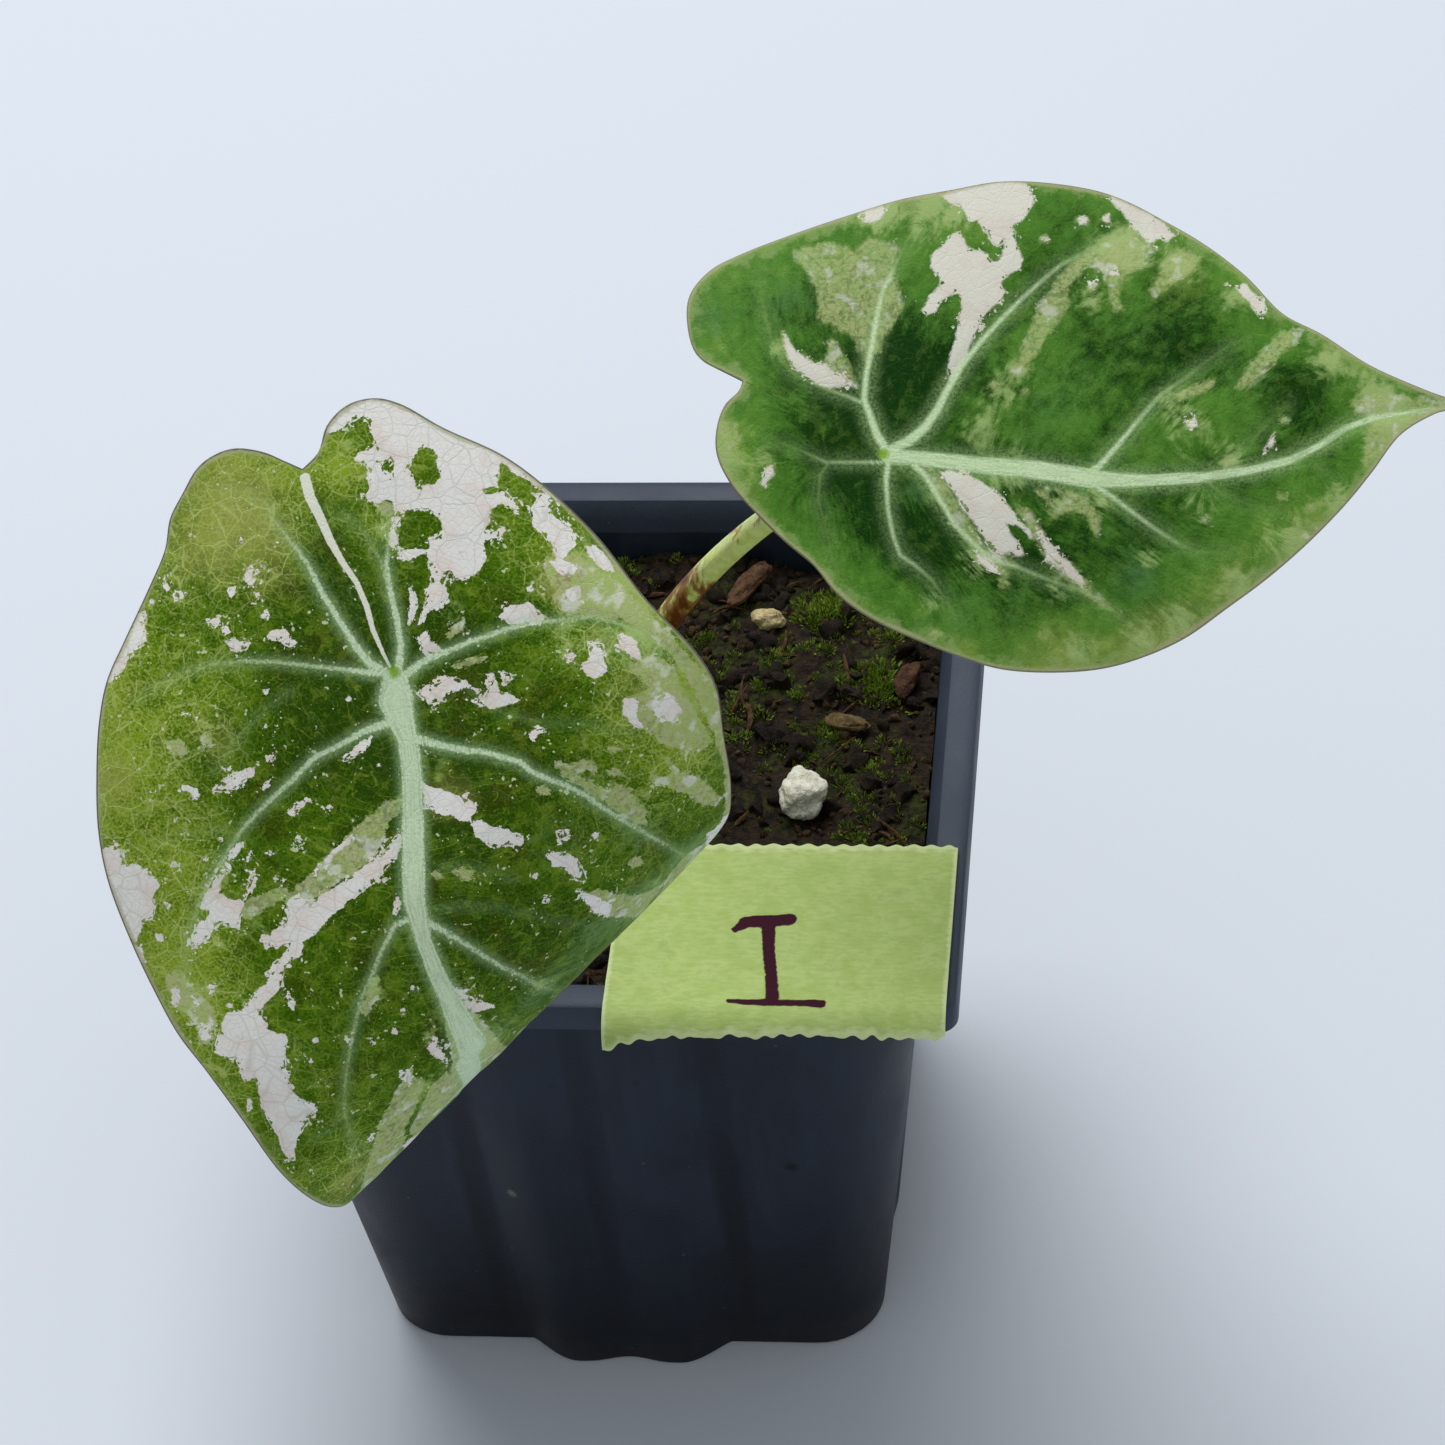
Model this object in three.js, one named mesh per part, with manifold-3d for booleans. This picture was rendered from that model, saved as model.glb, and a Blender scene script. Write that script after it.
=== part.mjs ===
// A potted variegated alocasia: two heart-shaped leaves on long stalks that rise from one corm,
// in a square nursery pot filled with potting mix. A strip of tape lies across one corner of the
// rim as a label, and a few stones and bark chips lie on the mix.
// Millimetres, +Z up. The origin is the middle of the pot's flat base, and -Y is the pot's front.

import * as THREE from 'three';
import { mergeVertices } from 'three/addons/utils/BufferGeometryUtils.js';
import Module from 'manifold-3d';

const wasm = await Module();
wasm.setup();

// Driving dimensions

const GAP = 0.3; // kept between pieces that touch on the real plant

const POT = {
  height: 76.7,
  wall: 1.0,
  baseHalf: 31.2, // half width of the body at the base
  topHalf: 40.7, // half width of the body under the rim's band
  baseCorner: 8, // corner radius of the body at the base
  topCorner: 15, // corner radius of the body under the rim's band
  rimHalf: 45,
  rimCorner: 2.5,
  rimBand: 3.9, // height of the band that hangs from the lip's outer edge
  lipHalf: 41.3, // half width of the opening
  edge: 0.5, // softened edges of the rim and the base
  lobeDepth: 3.6, // how far the two ribs of the front and the back stand out at the base
  sideLobeShare: 0.22, // the ribs of the two sides are much flatter
  grooveDepth: 0.24, // of the groove between two ribs, as a share of their depth
  lobeSpan: 12.6, // width of one rib at the base
  lobeSpanTop: 15.2, // width of one rib at the rim
  holeRadius: 2.5,
  holeOffset: 19,
};

const MIX = {
  level: 68, // mean height of the surface
  bump: 1.2, // height of the broad bumps
  crumb: 0.7, // height of the crumbs
  mound: 2.0, // rise round the stalks
  wallGap: 0.45,
};

const CORM = {
  centre: [-2, 7],
  top: 66,
  bottom: 44,
  radius: 6.2,
  roots: 6,
  rootRadius: 1.1,
  rootReach: 20,
  rootDrop: 30,
};

const STALK = {
  baseRadius: 1.95,
  midRadius: 1.5,
  topRadius: 1.75,
};

// Each blade is a flat pattern in millimetres, measured from where the stalk meets it: x to the
// blade's right and y up. It is bent round one line, so that its far end hangs, and lightly waved.
// Its place is that of the stalk's joint, and its turns are about Z, then X, then Z again.
const BLADE_THICKNESS = 0.8;

const LEFT_BLADE = {
  place: [-8.8, -58.3, 141.5],
  turns: [9.4, 46.3, -6.3],
  bendDirection: -45, // degrees from the pattern's x, pointing across the bend's line
  bendStart: 15.5,
  bendRadius: 20,
  bendAngle: 92,
  tailRadius: 120, // of the much slacker bend that follows
  cup: 0.0022,
  wave: 0.5,
  wavePhase: 0.6,
  rightMargin: [
    [-9.5, 20.8], [-7.9, 22.5], [-7, 25.3], [-4.9, 27.4], [-2.1, 28.1], [0.5, 27.5], [4.8, 25.1],
    [10.9, 22.3], [15.3, 19.1], [20.7, 13.9], [25.6, 7.6], [30.9, 2], [33.1, -1.6], [34.6, -7.6],
    [37.2, -14.9], [39.3, -21], [39.2, -28], [37.8, -35], [35, -42], [32.2, -50], [30.4, -58],
    [29.6, -66], [30, -73], [31, -79],
  ],
  leftMargin: [
    [-9.5, 20.8], [-11.3, 21.6], [-13.7, 22.6], [-17, 22.9], [-20.1, 21.3], [-22, 18.2],
    [-23.2, 15.8], [-23.7, 12.6], [-25.4, 8.5], [-27.8, 3.3], [-29.6, -0.8], [-30.4, -4.9],
    [-30.7, -10], [-30.6, -16.2], [-29.7, -21.4], [-27.4, -27.8], [-25, -33.1], [-22.7, -37.4],
    [-19.8, -41.2], [-16.3, -46.1], [-11.7, -52.9], [-6.4, -58.4], [-0.8, -62.6], [5, -66],
    [11.5, -68.6], [18, -70.6], [24, -73.3], [28.5, -76.8], [31, -79],
  ],
};

const RIGHT_BLADE = {
  place: [38, -13.5, 132],
  turns: [4.5, 31.5, -2],
  bendDirection: 8,
  bendStart: 10,
  bendRadius: 170,
  bendAngle: 12,
  tailRadius: 60,
  cup: 0.0026,
  wave: 0.5,
  wavePhase: 2,
  rightMargin: [
    [-15.4, 9.1], [-17.3, 10.1], [-20.5, 12.3], [-21.7, 16.5], [-21.4, 19.8], [-19.2, 22.6],
    [-15.9, 24.3], [-10.3, 26.3], [-3.6, 28.4], [1.9, 30], [7.5, 31], [13, 32], [18.5, 31.9],
    [24.1, 31], [27.5, 29.7], [31.1, 27.7], [35.5, 25], [40.1, 21.2], [44.2, 16.6], [48.4, 14.4],
    [53.9, 11], [59.9, 8.9], [63, 8.2], [68, 7.6],
  ],
  leftMargin: [
    [-15.4, 9.1], [-15.8, 7.9], [-17.4, 6.2], [-18.3, 3.3], [-18.2, 0.4], [-16.6, -3],
    [-13.9, -6.3], [-10.6, -9.7], [-7.7, -12.3], [-5.5, -15.2], [-3.4, -17.1], [-0.2, -19.1],
    [4.2, -21.1], [8, -22.6], [12.3, -23.9], [17.7, -24.3], [23.2, -23.9], [27.6, -22.7],
    [32.3, -20.6], [36.9, -17.4], [41.4, -14.1], [45.9, -10.2], [50.3, -5.7], [53.5, -1.8],
    [57.1, 2.9], [60.9, 5.6], [63, 6.6], [68, 7.6],
  ],
};

// The stalks' control points, from the corm to just under the blade
const LEFT_STALK = [[-4.6, 5.6, 66.3], [-5.5, 2, 96], [-8, -32, 125]];
const RIGHT_STALK = [[0.8, 8.2, 66.3], [3, 2.3, 87.4], [18.1, -3.7, 113.6]];

const TAPE = {
  left: 5.1,
  right: 43.9,
  back: -19.5, // the edge that lies over the potting mix
  underside: 77,
  thickness: 0.6,
  length: 29.4, // along the tape, past the rim's edge
  cornerExtra: 2.4, // the slack corner is longer
  cornerReach: 4, // how fast that extra length fades across the tape
  curlStart: 25.2, // where the tape leaves the rim and curls down
  curlRadius: 4,
  tooth: 0.65,
  teeth: 19,
};

// Stones and chips on the mix: place, half sizes, and turn about Z in degrees
const CHIPS = {
  pumice_stone: { place: [24, -3.2, 69.4], half: [2.9, 3.4, 2.6], turn: 15, seed: 3 },
  tan_stone: { place: [17.5, 27.2, 69.5], half: [2.1, 1.5, 1.3], turn: 0, seed: 8 },
  bark_chip_long: { place: [14.6, 33.9, 69.6], half: [4.3, 1.4, 0.9], turn: 60, seed: 21 },
  bark_chip_small: { place: [35.3, 16.6, 69.3], half: [3.2, 1.5, 0.9], turn: 75, seed: 14 },
  brown_chip: { place: [28.4, 9.2, 69.2], half: [2.8, 1.4, 0.8], turn: -12, seed: 30 },
};

// Repeatable random numbers from 0 to 1
function randomFrom(seed) {
  let state = seed;
  return () => {
    state = (state * 1664525 + 1013904223) % 4294967296;
    return state / 4294967296;
  };
}

const radians = THREE.MathUtils.degToRad;

// Solids

// A closed geometry from corner points and triangles, turned right side out
function closedGeometry(points, triangles) {
  let volume = 0;
  for (const [a, b, c] of triangles) {
    const cross = new THREE.Vector3().crossVectors(points[b], points[c]);
    volume += points[a].dot(cross);
  }
  const index = volume < 0 ? triangles.map(([a, b, c]) => [a, c, b]) : triangles;
  const geometry = new THREE.BufferGeometry();
  geometry.setAttribute('position', new THREE.Float32BufferAttribute(
    points.flatMap((point) => [point.x, point.y, point.z]), 3));
  geometry.setIndex(index.flat());
  geometry.computeVertexNormals();
  return geometry;
}

function manifoldOf(geometry) {
  const bare = geometry.clone();
  bare.deleteAttribute('normal');
  bare.deleteAttribute('uv');
  const merged = mergeVertices(bare, 1e-4);
  return new wasm.Manifold(new wasm.Mesh({
    numProp: 3,
    vertProperties: new Float32Array(merged.attributes.position.array),
    triVerts: new Uint32Array(merged.index.array),
  }));
}

function geometryOf(manifold) {
  const mesh = manifold.getMesh();
  const geometry = new THREE.BufferGeometry();
  geometry.setAttribute('position', new THREE.Float32BufferAttribute(mesh.vertProperties, 3));
  geometry.setIndex(Array.from(mesh.triVerts));
  geometry.computeVertexNormals();
  return geometry;
}

// A solid skinned over rings of points that all have the same count. Its two ends are closed by
// fans round the middle of the first and the last ring. Rings that go down are divided like those
// that go up, so that the inside of a wall has the same facets as its outside.
function skinRings(rings) {
  const count = rings[0].length;
  const points = rings.flat();
  const triangles = [];
  for (let r = 0; r + 1 < rings.length; r += 1) {
    const down = rings[r + 1][0].z < rings[r][0].z;
    for (let i = 0; i < count; i += 1) {
      const j = (i + 1) % count;
      const a = r * count;
      const b = a + count;
      if (down) {
        triangles.push([a + i, a + j, b + i], [a + j, b + j, b + i]);
      } else {
        triangles.push([a + i, a + j, b + j], [a + i, b + j, b + i]);
      }
    }
  }
  for (const [start, flip] of [[0, true], [(rings.length - 1) * count, false]]) {
    const middle = new THREE.Vector3();
    for (let i = 0; i < count; i += 1) middle.addScaledVector(points[start + i], 1 / count);
    const centre = points.push(middle) - 1;
    for (let i = 0; i < count; i += 1) {
      const j = (i + 1) % count;
      triangles.push(flip ? [centre, start + j, start + i] : [centre, start + i, start + j]);
    }
  }
  return closedGeometry(points, triangles);
}

// Pot

// One face of the pot's outline, with its two ribs, and the round corner that follows it
function potFace(z, half, corner, lobe) {
  const flat = half - corner;
  const ribSteps = 12;
  const cornerSteps = 4;
  const span = POT.lobeSpan + (POT.lobeSpanTop - POT.lobeSpan) * z / POT.height;
  const face = [[-flat, -half]];
  for (let i = 0; i <= ribSteps; i += 1) {
    const across = span * (2 * i / ribSteps - 1);
    const turn = Math.PI * across / span;
    const outer = Math.abs(across) > span / 2;
    const swell = outer ? Math.abs(Math.sin(turn)) ** 1.2
      : 1 - POT.grooveDepth * Math.abs(Math.cos(turn)) ** 3;
    face.push([across, -half - lobe * swell]);
  }
  face.push([flat, -half]);
  for (let i = 1; i < cornerSteps; i += 1) {
    const angle = Math.PI / 2 * i / cornerSteps;
    face.push([flat + corner * Math.sin(angle), -flat - corner * Math.cos(angle)]);
  }
  return face;
}

// The pot's outline at one height: a square with round corners and two ribs on each face
function potOutline(z, half, corner, lobe) {
  const outline = [];
  for (const [cos, sin] of [[1, 0], [0, 1], [-1, 0], [0, -1]]) {
    const depth = cos === 0 ? lobe * POT.sideLobeShare : lobe;
    for (const [x, y] of potFace(z, half, corner, depth)) {
      outline.push(new THREE.Vector3(x * cos - y * sin, x * sin + y * cos, z));
    }
  }
  return outline;
}

// The body's outline at a height, moved inwards
function bodyOutline(z, inset = 0) {
  const rise = z / (POT.height - POT.rimBand);
  const half = POT.baseHalf + (POT.topHalf - POT.baseHalf) * rise;
  const corner = POT.baseCorner + (POT.topCorner - POT.baseCorner) * rise;
  const lobe = POT.lobeDepth * (1 - z / POT.height);
  return potOutline(z, half - inset, corner - inset, lobe);
}

function makePot() {
  const { height, wall, rimHalf, rimCorner, lipHalf, edge } = POT;
  const underLip = height - wall;
  const underBand = height - POT.rimBand;
  const rim = (z, inset) => potOutline(z, rimHalf - inset, rimCorner - inset, 0);
  const softBase = bodyOutline(0, edge);
  const innerBase = bodyOutline(wall + 2 * edge, wall + 2 * edge);
  innerBase.forEach((point) => point.setZ(wall));
  const shell = skinRings([
    softBase,
    bodyOutline(edge),
    bodyOutline(underLip),
    rim(underLip, wall),
    rim(underBand, wall),
    rim(underBand, 0),
    rim(height - edge, 0),
    rim(height, edge),
    potOutline(height, lipHalf, POT.topCorner, 0),
    bodyOutline(underLip, wall),
    bodyOutline(wall + 2 * edge, wall),
    innerBase,
  ]);
  let pot = manifoldOf(shell);
  for (const [x, y] of [[1, 0], [0, 1], [-1, 0], [0, -1], [1, 1], [-1, 1], [-1, -1], [1, -1]]) {
    const drill = new THREE.CylinderGeometry(POT.holeRadius, POT.holeRadius, 6 * wall, 12);
    drill.rotateX(Math.PI / 2);
    drill.translate(x * POT.holeOffset, y * POT.holeOffset, 0);
    pot = pot.subtract(manifoldOf(drill));
  }
  return geometryOf(pot);
}

// Potting mix

function mixLevel(x, y) {
  const [cx, cy] = CORM.centre;
  const broad = Math.sin(0.16 * x + 0.8) * Math.sin(0.14 * y + 2);
  const fine = Math.sin(0.55 * x - 0.35 * y) * Math.sin(0.4 * x + 0.6 * y + 1);
  const mound = Math.exp(-((x - cx) ** 2 + (y - cy) ** 2) / 160);
  return MIX.level + MIX.bump * broad + MIX.crumb * fine + MIX.mound * mound;
}

function makeMix(hollows) {
  const inset = POT.wall + MIX.wallGap;
  const foot = POT.wall + 2 * POT.edge;
  const bottom = bodyOutline(foot, inset + 2 * POT.edge);
  bottom.forEach((point) => point.setZ(POT.wall + GAP));
  const brim = bodyOutline(MIX.level, inset).map((point, i) => (
    bodyOutline(mixLevel(point.x, point.y), inset)[i]));
  const rings = [bottom, bodyOutline(foot + GAP, inset), brim];
  const random = randomFrom(11);
  for (const share of [0.88, 0.75, 0.62, 0.5, 0.38, 0.26, 0.14]) {
    rings.push(brim.map((point) => {
      const x = point.x * share;
      const y = point.y * share;
      return new THREE.Vector3(x, y, mixLevel(x, y) + MIX.crumb * (random() - 0.5));
    }));
  }
  let mix = manifoldOf(skinRings(rings));
  for (const hollow of hollows) mix = mix.subtract(hollow);
  return geometryOf(mix);
}

// Plant

// A round tube along a path, with its radius given from end to end. Its first and last rings may
// lie in planes of their own, so that a stalk stands squarely on the corm and meets its blade.
function makeTube(curve, radii, sides, steps, startNormal, endNormal) {
  const frames = curve.computeFrenetFrames(steps);
  const rings = [];
  for (let i = 0; i <= steps; i += 1) {
    const centre = curve.getPointAt(i / steps);
    const place = i / steps * (radii.length - 1);
    const low = Math.min(Math.floor(place), radii.length - 2);
    const radius = THREE.MathUtils.lerp(radii[low], radii[low + 1], place - low);
    const ring = [];
    for (let k = 0; k < sides; k += 1) {
      const angle = 2 * Math.PI * k / sides;
      const spoke = new THREE.Vector3()
        .addScaledVector(frames.normals[i], Math.cos(angle) * radius)
        .addScaledVector(frames.binormals[i], Math.sin(angle) * radius);
      const cut = i === 0 ? startNormal : endNormal;
      if (cut && (i === 0 || i === steps)) {
        const lean = spoke.dot(cut) / frames.tangents[i].dot(cut);
        spoke.addScaledVector(frames.tangents[i], -lean);
      }
      ring.push(spoke.add(centre));
    }
    rings.push(ring);
  }
  return skinRings(rings);
}

// The corm and its roots as one solid. Grown by a clearance, it also cuts their hollow.
function makeCorm(grow) {
  const { centre, top, bottom, radius } = CORM;
  const middle = (top + bottom) / 2;
  const length = top - bottom;
  const profile = [
    [0, bottom - grow],
    [radius * 0.55 + grow, bottom - grow],
    [radius + grow, middle - 0.18 * length],
    [radius * 0.93 + grow, middle + 0.15 * length],
    [radius + grow, top - 0.12 * length],
    [radius * 0.9 + grow, top + grow],
    [0, top + grow],
  ];
  const body = new THREE.LatheGeometry(profile.map(([x, y]) => new THREE.Vector2(x, y)), 14);
  body.rotateX(Math.PI / 2);
  body.translate(centre[0], centre[1], 0);
  let corm = manifoldOf(body);
  const random = randomFrom(5);
  for (let i = 0; i < CORM.roots; i += 1) {
    const angle = 2 * Math.PI * (i + 0.3 * random()) / CORM.roots;
    const reach = CORM.rootReach * (0.75 + 0.4 * random());
    const drop = CORM.rootDrop * (0.75 + 0.25 * random());
    const bow = 0.35 * (random() - 0.5);
    const at = (out, down, swing) => new THREE.Vector3(
      centre[0] + out * Math.cos(angle + swing), centre[1] + out * Math.sin(angle + swing), down);
    const path = new THREE.CatmullRomCurve3([
      at(radius * 0.4, bottom + 9, 0),
      at(radius * 1.5, bottom + 5, 0),
      at(reach * 0.75, bottom - drop * 0.3, bow),
      at(reach, bottom - drop, 2 * bow),
    ]);
    const { rootRadius } = CORM;
    const root = makeTube(path, [rootRadius, rootRadius * 0.9, rootRadius * 0.5].map((r) => r + grow),
      7, 8);
    corm = corm.add(manifoldOf(root));
  }
  return corm;
}

function makeStalk(points, blade) {
  const normal = new THREE.Vector3(0, 0, 1).applyMatrix4(bladeTurn(blade));
  const end = new THREE.Vector3(...blade.place).addScaledVector(normal, -(BLADE_THICKNESS + GAP));
  const curve = new THREE.CubicBezierCurve3(
    ...points.map((point) => new THREE.Vector3(...point)), end);
  const { baseRadius, midRadius, topRadius } = STALK;
  const radii = [baseRadius, baseRadius * 0.9, midRadius, midRadius, midRadius, topRadius];
  return makeTube(curve, radii, 10, 18, new THREE.Vector3(0, 0, 1), normal);
}

// How a blade's pattern is turned to its place on the plant
function bladeTurn(blade) {
  const [first, tilt, last] = blade.turns.map(radians);
  return new THREE.Matrix4().makeRotationZ(first)
    .multiply(new THREE.Matrix4().makeRotationX(tilt))
    .multiply(new THREE.Matrix4().makeRotationZ(last));
}

// Where a point of a blade's flat pattern lies once the blade is bent, cupped and waved
function bladePoint(blade, x, y) {
  const cos = Math.cos(radians(blade.bendDirection));
  const sin = Math.sin(radians(blade.bendDirection));
  const along = x * cos + y * sin;
  const side = y * cos - x * sin;
  const past = Math.max(along - blade.bendStart, 0);
  const tight = Math.min(past / blade.bendRadius, radians(blade.bendAngle));
  const tail = tight + (past - tight * blade.bendRadius) / blade.tailRadius;
  const reach = Math.min(along, blade.bendStart) + blade.bendRadius * Math.sin(tight)
    + blade.tailRadius * (Math.sin(tail) - Math.sin(tight));
  const drop = blade.bendRadius * (1 - Math.cos(tight))
    + blade.tailRadius * (Math.cos(tight) - Math.cos(tail));
  const cup = blade.cup * (side ** 2 + Math.min(along, 0) ** 2);
  const wave = blade.wave * ((x * x + y * y) / 900)
    * Math.sin(4 * Math.atan2(y, x) + blade.wavePhase);
  return new THREE.Vector3(reach * cos - side * sin, reach * sin + side * cos, wave - drop - cup);
}

function bladeNormal(blade, x, y) {
  const step = 0.05;
  const across = bladePoint(blade, x + step, y).sub(bladePoint(blade, x - step, y));
  const up = bladePoint(blade, x, y + step).sub(bladePoint(blade, x, y - step));
  return across.cross(up).normalize();
}

// The pattern's edge, evenly spaced from the notch to the tip on one side and back on the other
function bladeEdge(blade) {
  const half = 30;
  const margin = (points) => new THREE.CatmullRomCurve3(
    points.map(([x, y]) => new THREE.Vector3(x, y, 0)), false, 'centripetal').getSpacedPoints(half);
  const right = margin(blade.rightMargin);
  const left = margin(blade.leftMargin).reverse();
  return [...right.slice(0, half), ...left.slice(0, half)];
}

// Both faces of a blade have the same triangles, in rings round the stalk's joint
function makeBlade(blade) {
  const edge = bladeEdge(blade);
  const shares = [1, 0.86, 0.71, 0.56, 0.41, 0.26, 0.12];
  const count = edge.length;
  const flat = [...shares.flatMap((share) => edge.map((p) => [p.x * share, p.y * share])), [0, 0]];
  const upper = flat.map(([x, y]) => bladePoint(blade, x, y));
  const lower = flat.map(([x, y]) => (
    bladePoint(blade, x, y).addScaledVector(bladeNormal(blade, x, y), -BLADE_THICKNESS)));
  const triangles = [];
  const face = (a, b, c) => {
    triangles.push([a, b, c], [flat.length + a, flat.length + c, flat.length + b]);
  };
  for (let ring = 0; ring < shares.length; ring += 1) {
    for (let i = 0; i < count; i += 1) {
      const j = (i + 1) % count;
      const a = ring * count;
      if (ring === shares.length - 1) {
        face(a + i, flat.length - 1, a + j);
      } else {
        face(a + i, a + count + i, a + j);
        face(a + j, a + count + i, a + count + j);
      }
    }
  }
  for (let i = 0; i < count; i += 1) {
    const j = (i + 1) % count;
    triangles.push([i, j, flat.length + i], [j, flat.length + j, flat.length + i]);
  }
  return closedGeometry([...upper, ...lower], triangles);
}

// Tape

// The tape lies flat on the rim, and curls down where it passes the rim's front edge
function tapePoint(x, v, lift) {
  const past = Math.max(v - TAPE.curlStart, 0);
  const angle = past / TAPE.curlRadius;
  const radius = TAPE.curlRadius + lift;
  return new THREE.Vector3(
    x,
    TAPE.back - Math.min(v, TAPE.curlStart) - radius * Math.sin(angle),
    TAPE.underside + lift - radius * (1 - Math.cos(angle)));
}

function makeTape() {
  const columns = 2 * TAPE.teeth;
  const width = TAPE.right - TAPE.left;
  const grid = [];
  for (let i = 0; i <= columns; i += 1) {
    const x = TAPE.left + width * i / columns;
    const notch = i % 2 === 0 ? TAPE.tooth : 0;
    const slack = TAPE.cornerExtra * Math.exp(-(x - TAPE.left) / TAPE.cornerReach);
    const end = TAPE.length + slack - notch;
    const curl = end - TAPE.curlStart;
    const stops = [notch, TAPE.curlStart, TAPE.curlStart + curl / 3, end - curl / 3, end];
    grid.push(stops.map((v) => [x, v]));
  }
  const rows = grid[0].length;
  const flat = grid.flat();
  const points = [0, TAPE.thickness].flatMap((lift) => flat.map(([x, v]) => tapePoint(x, v, lift)));
  const triangles = [];
  const quad = (a, b, c, d) => triangles.push([a, b, c], [a, c, d]);
  const top = flat.length;
  for (let i = 0; i < columns; i += 1) {
    for (let r = 0; r + 1 < rows; r += 1) {
      const a = i * rows + r;
      const b = a + rows;
      quad(a, b, b + 1, a + 1);
      quad(top + a, top + a + 1, top + b + 1, top + b);
    }
    const first = i * rows;
    const last = first + rows - 1;
    quad(first, top + first, top + first + rows, first + rows);
    quad(last, last + rows, top + last + rows, top + last);
  }
  for (let r = 0; r + 1 < rows; r += 1) {
    const far = columns * rows + r;
    quad(r, r + 1, top + r + 1, top + r);
    quad(far, top + far, top + far + 1, far + 1);
  }
  return closedGeometry(points, triangles);
}

// Stones and chips

// A broken, faceted lump. Grown by a clearance, it also cuts its own seat in the mix.
function makeChip(chip, grow) {
  const bare = new THREE.IcosahedronGeometry(1, 1);
  bare.deleteAttribute('normal');
  bare.deleteAttribute('uv');
  const lump = mergeVertices(bare, 1e-4);
  const random = randomFrom(chip.seed);
  const position = lump.attributes.position;
  for (let i = 0; i < position.count; i += 1) {
    const point = new THREE.Vector3().fromBufferAttribute(position, i);
    const size = 0.86 + 0.24 * random();
    const [a, b, c] = chip.half;
    point.set(point.x * (a * size + grow), point.y * (b * size + grow), point.z * (c * size + grow));
    position.setXYZ(i, point.x, point.y, point.z);
  }
  lump.rotateZ(radians(chip.turn));
  lump.translate(...chip.place);
  lump.computeVertexNormals();
  return lump;
}

// Assembly

const plant = new THREE.Group();

function addPiece(name, geometry, colour, roughness) {
  const material = new THREE.MeshStandardMaterial({ color: colour, roughness, metalness: 0 });
  const mesh = new THREE.Mesh(geometry, material);
  mesh.name = name;
  plant.add(mesh);
  return mesh;
}

function addBlade(name, blade, colour) {
  const mesh = addPiece(name, makeBlade(blade), colour, 0.45);
  mesh.applyMatrix4(bladeTurn(blade));
  mesh.position.set(...blade.place);
}

// The stalks rise through one round hole in the mix, above the corm
function makeStalkHole() {
  const [x, y] = CORM.centre;
  const bottom = CORM.top - 1;
  const length = 12;
  const hole = new THREE.CylinderGeometry(CORM.radius, CORM.radius, length, 20);
  hole.rotateX(Math.PI / 2);
  hole.translate(x, y, bottom + length / 2);
  return manifoldOf(hole);
}

const chipHollows = Object.values(CHIPS).map((chip) => manifoldOf(makeChip(chip, GAP)));

addPiece('nursery_pot', makePot(), 0x22262e, 0.45);
addPiece('potting_mix', makeMix([makeCorm(GAP), makeStalkHole(), ...chipHollows]), 0x2a1f16, 0.95);
addPiece('corm_with_roots', geometryOf(makeCorm(0)), 0x7a5a3c, 0.8);
addPiece('left_stalk', makeStalk(LEFT_STALK, LEFT_BLADE), 0x9db06a, 0.5);
addPiece('right_stalk', makeStalk(RIGHT_STALK, RIGHT_BLADE), 0x9db06a, 0.5);
addBlade('left_leaf', LEFT_BLADE, 0x5a7d33);
addBlade('right_leaf', RIGHT_BLADE, 0x3d6a2f);
addPiece('tape_label', makeTape(), 0xa9c673, 0.7);
addPiece('pumice_stone', makeChip(CHIPS.pumice_stone, 0), 0xd8d3c0, 0.9);
addPiece('tan_stone', makeChip(CHIPS.tan_stone, 0), 0xc9b98c, 0.9);
addPiece('bark_chip_long', makeChip(CHIPS.bark_chip_long, 0), 0x7a4f3c, 0.9);
addPiece('bark_chip_small', makeChip(CHIPS.bark_chip_small, 0), 0x6b3f30, 0.9);
addPiece('brown_chip', makeChip(CHIPS.brown_chip, 0), 0x6f5a3c, 0.9);

export default plant;
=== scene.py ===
"""A potted variegated alocasia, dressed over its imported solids."""
import math
import random
from types import SimpleNamespace

import bpy
import numpy as np
from mathutils import Matrix, Vector, kdtree, noise


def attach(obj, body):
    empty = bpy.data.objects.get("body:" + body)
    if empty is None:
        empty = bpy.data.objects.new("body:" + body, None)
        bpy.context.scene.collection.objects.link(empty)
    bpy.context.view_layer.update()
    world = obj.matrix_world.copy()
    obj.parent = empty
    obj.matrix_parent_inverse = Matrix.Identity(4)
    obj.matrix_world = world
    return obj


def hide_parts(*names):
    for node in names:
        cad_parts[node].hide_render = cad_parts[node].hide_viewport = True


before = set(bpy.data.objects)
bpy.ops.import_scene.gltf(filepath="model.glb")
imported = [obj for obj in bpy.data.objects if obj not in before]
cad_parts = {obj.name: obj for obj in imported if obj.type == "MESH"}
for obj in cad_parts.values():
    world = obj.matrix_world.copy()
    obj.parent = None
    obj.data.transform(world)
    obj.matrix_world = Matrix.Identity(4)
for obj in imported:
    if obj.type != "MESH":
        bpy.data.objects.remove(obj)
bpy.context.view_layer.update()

MM = 0.001
# A step to find a slope with, in millimetres, and the gap that a seam closes, in metres
SMALL_STEP = 0.05
SEAM_GAP = 1e-7
# Farther than any point, and the points put in between two of a curve's own
FAR = 1e9
CURVE_STEPS = 12
# The power that turns a colour as it is seen into light
SCREEN_GAMMA = 2.2

# The photograph's camera, in millimetres, and its frame in pixels
PHOTO_SIZE = 1445
FOCAL_PIXELS = 5000
SENSOR = 36
CAMERA_PLACE = (85, -424, 489)
CAMERA_TURNS = (9.4, 46.28, -6.29)
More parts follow.
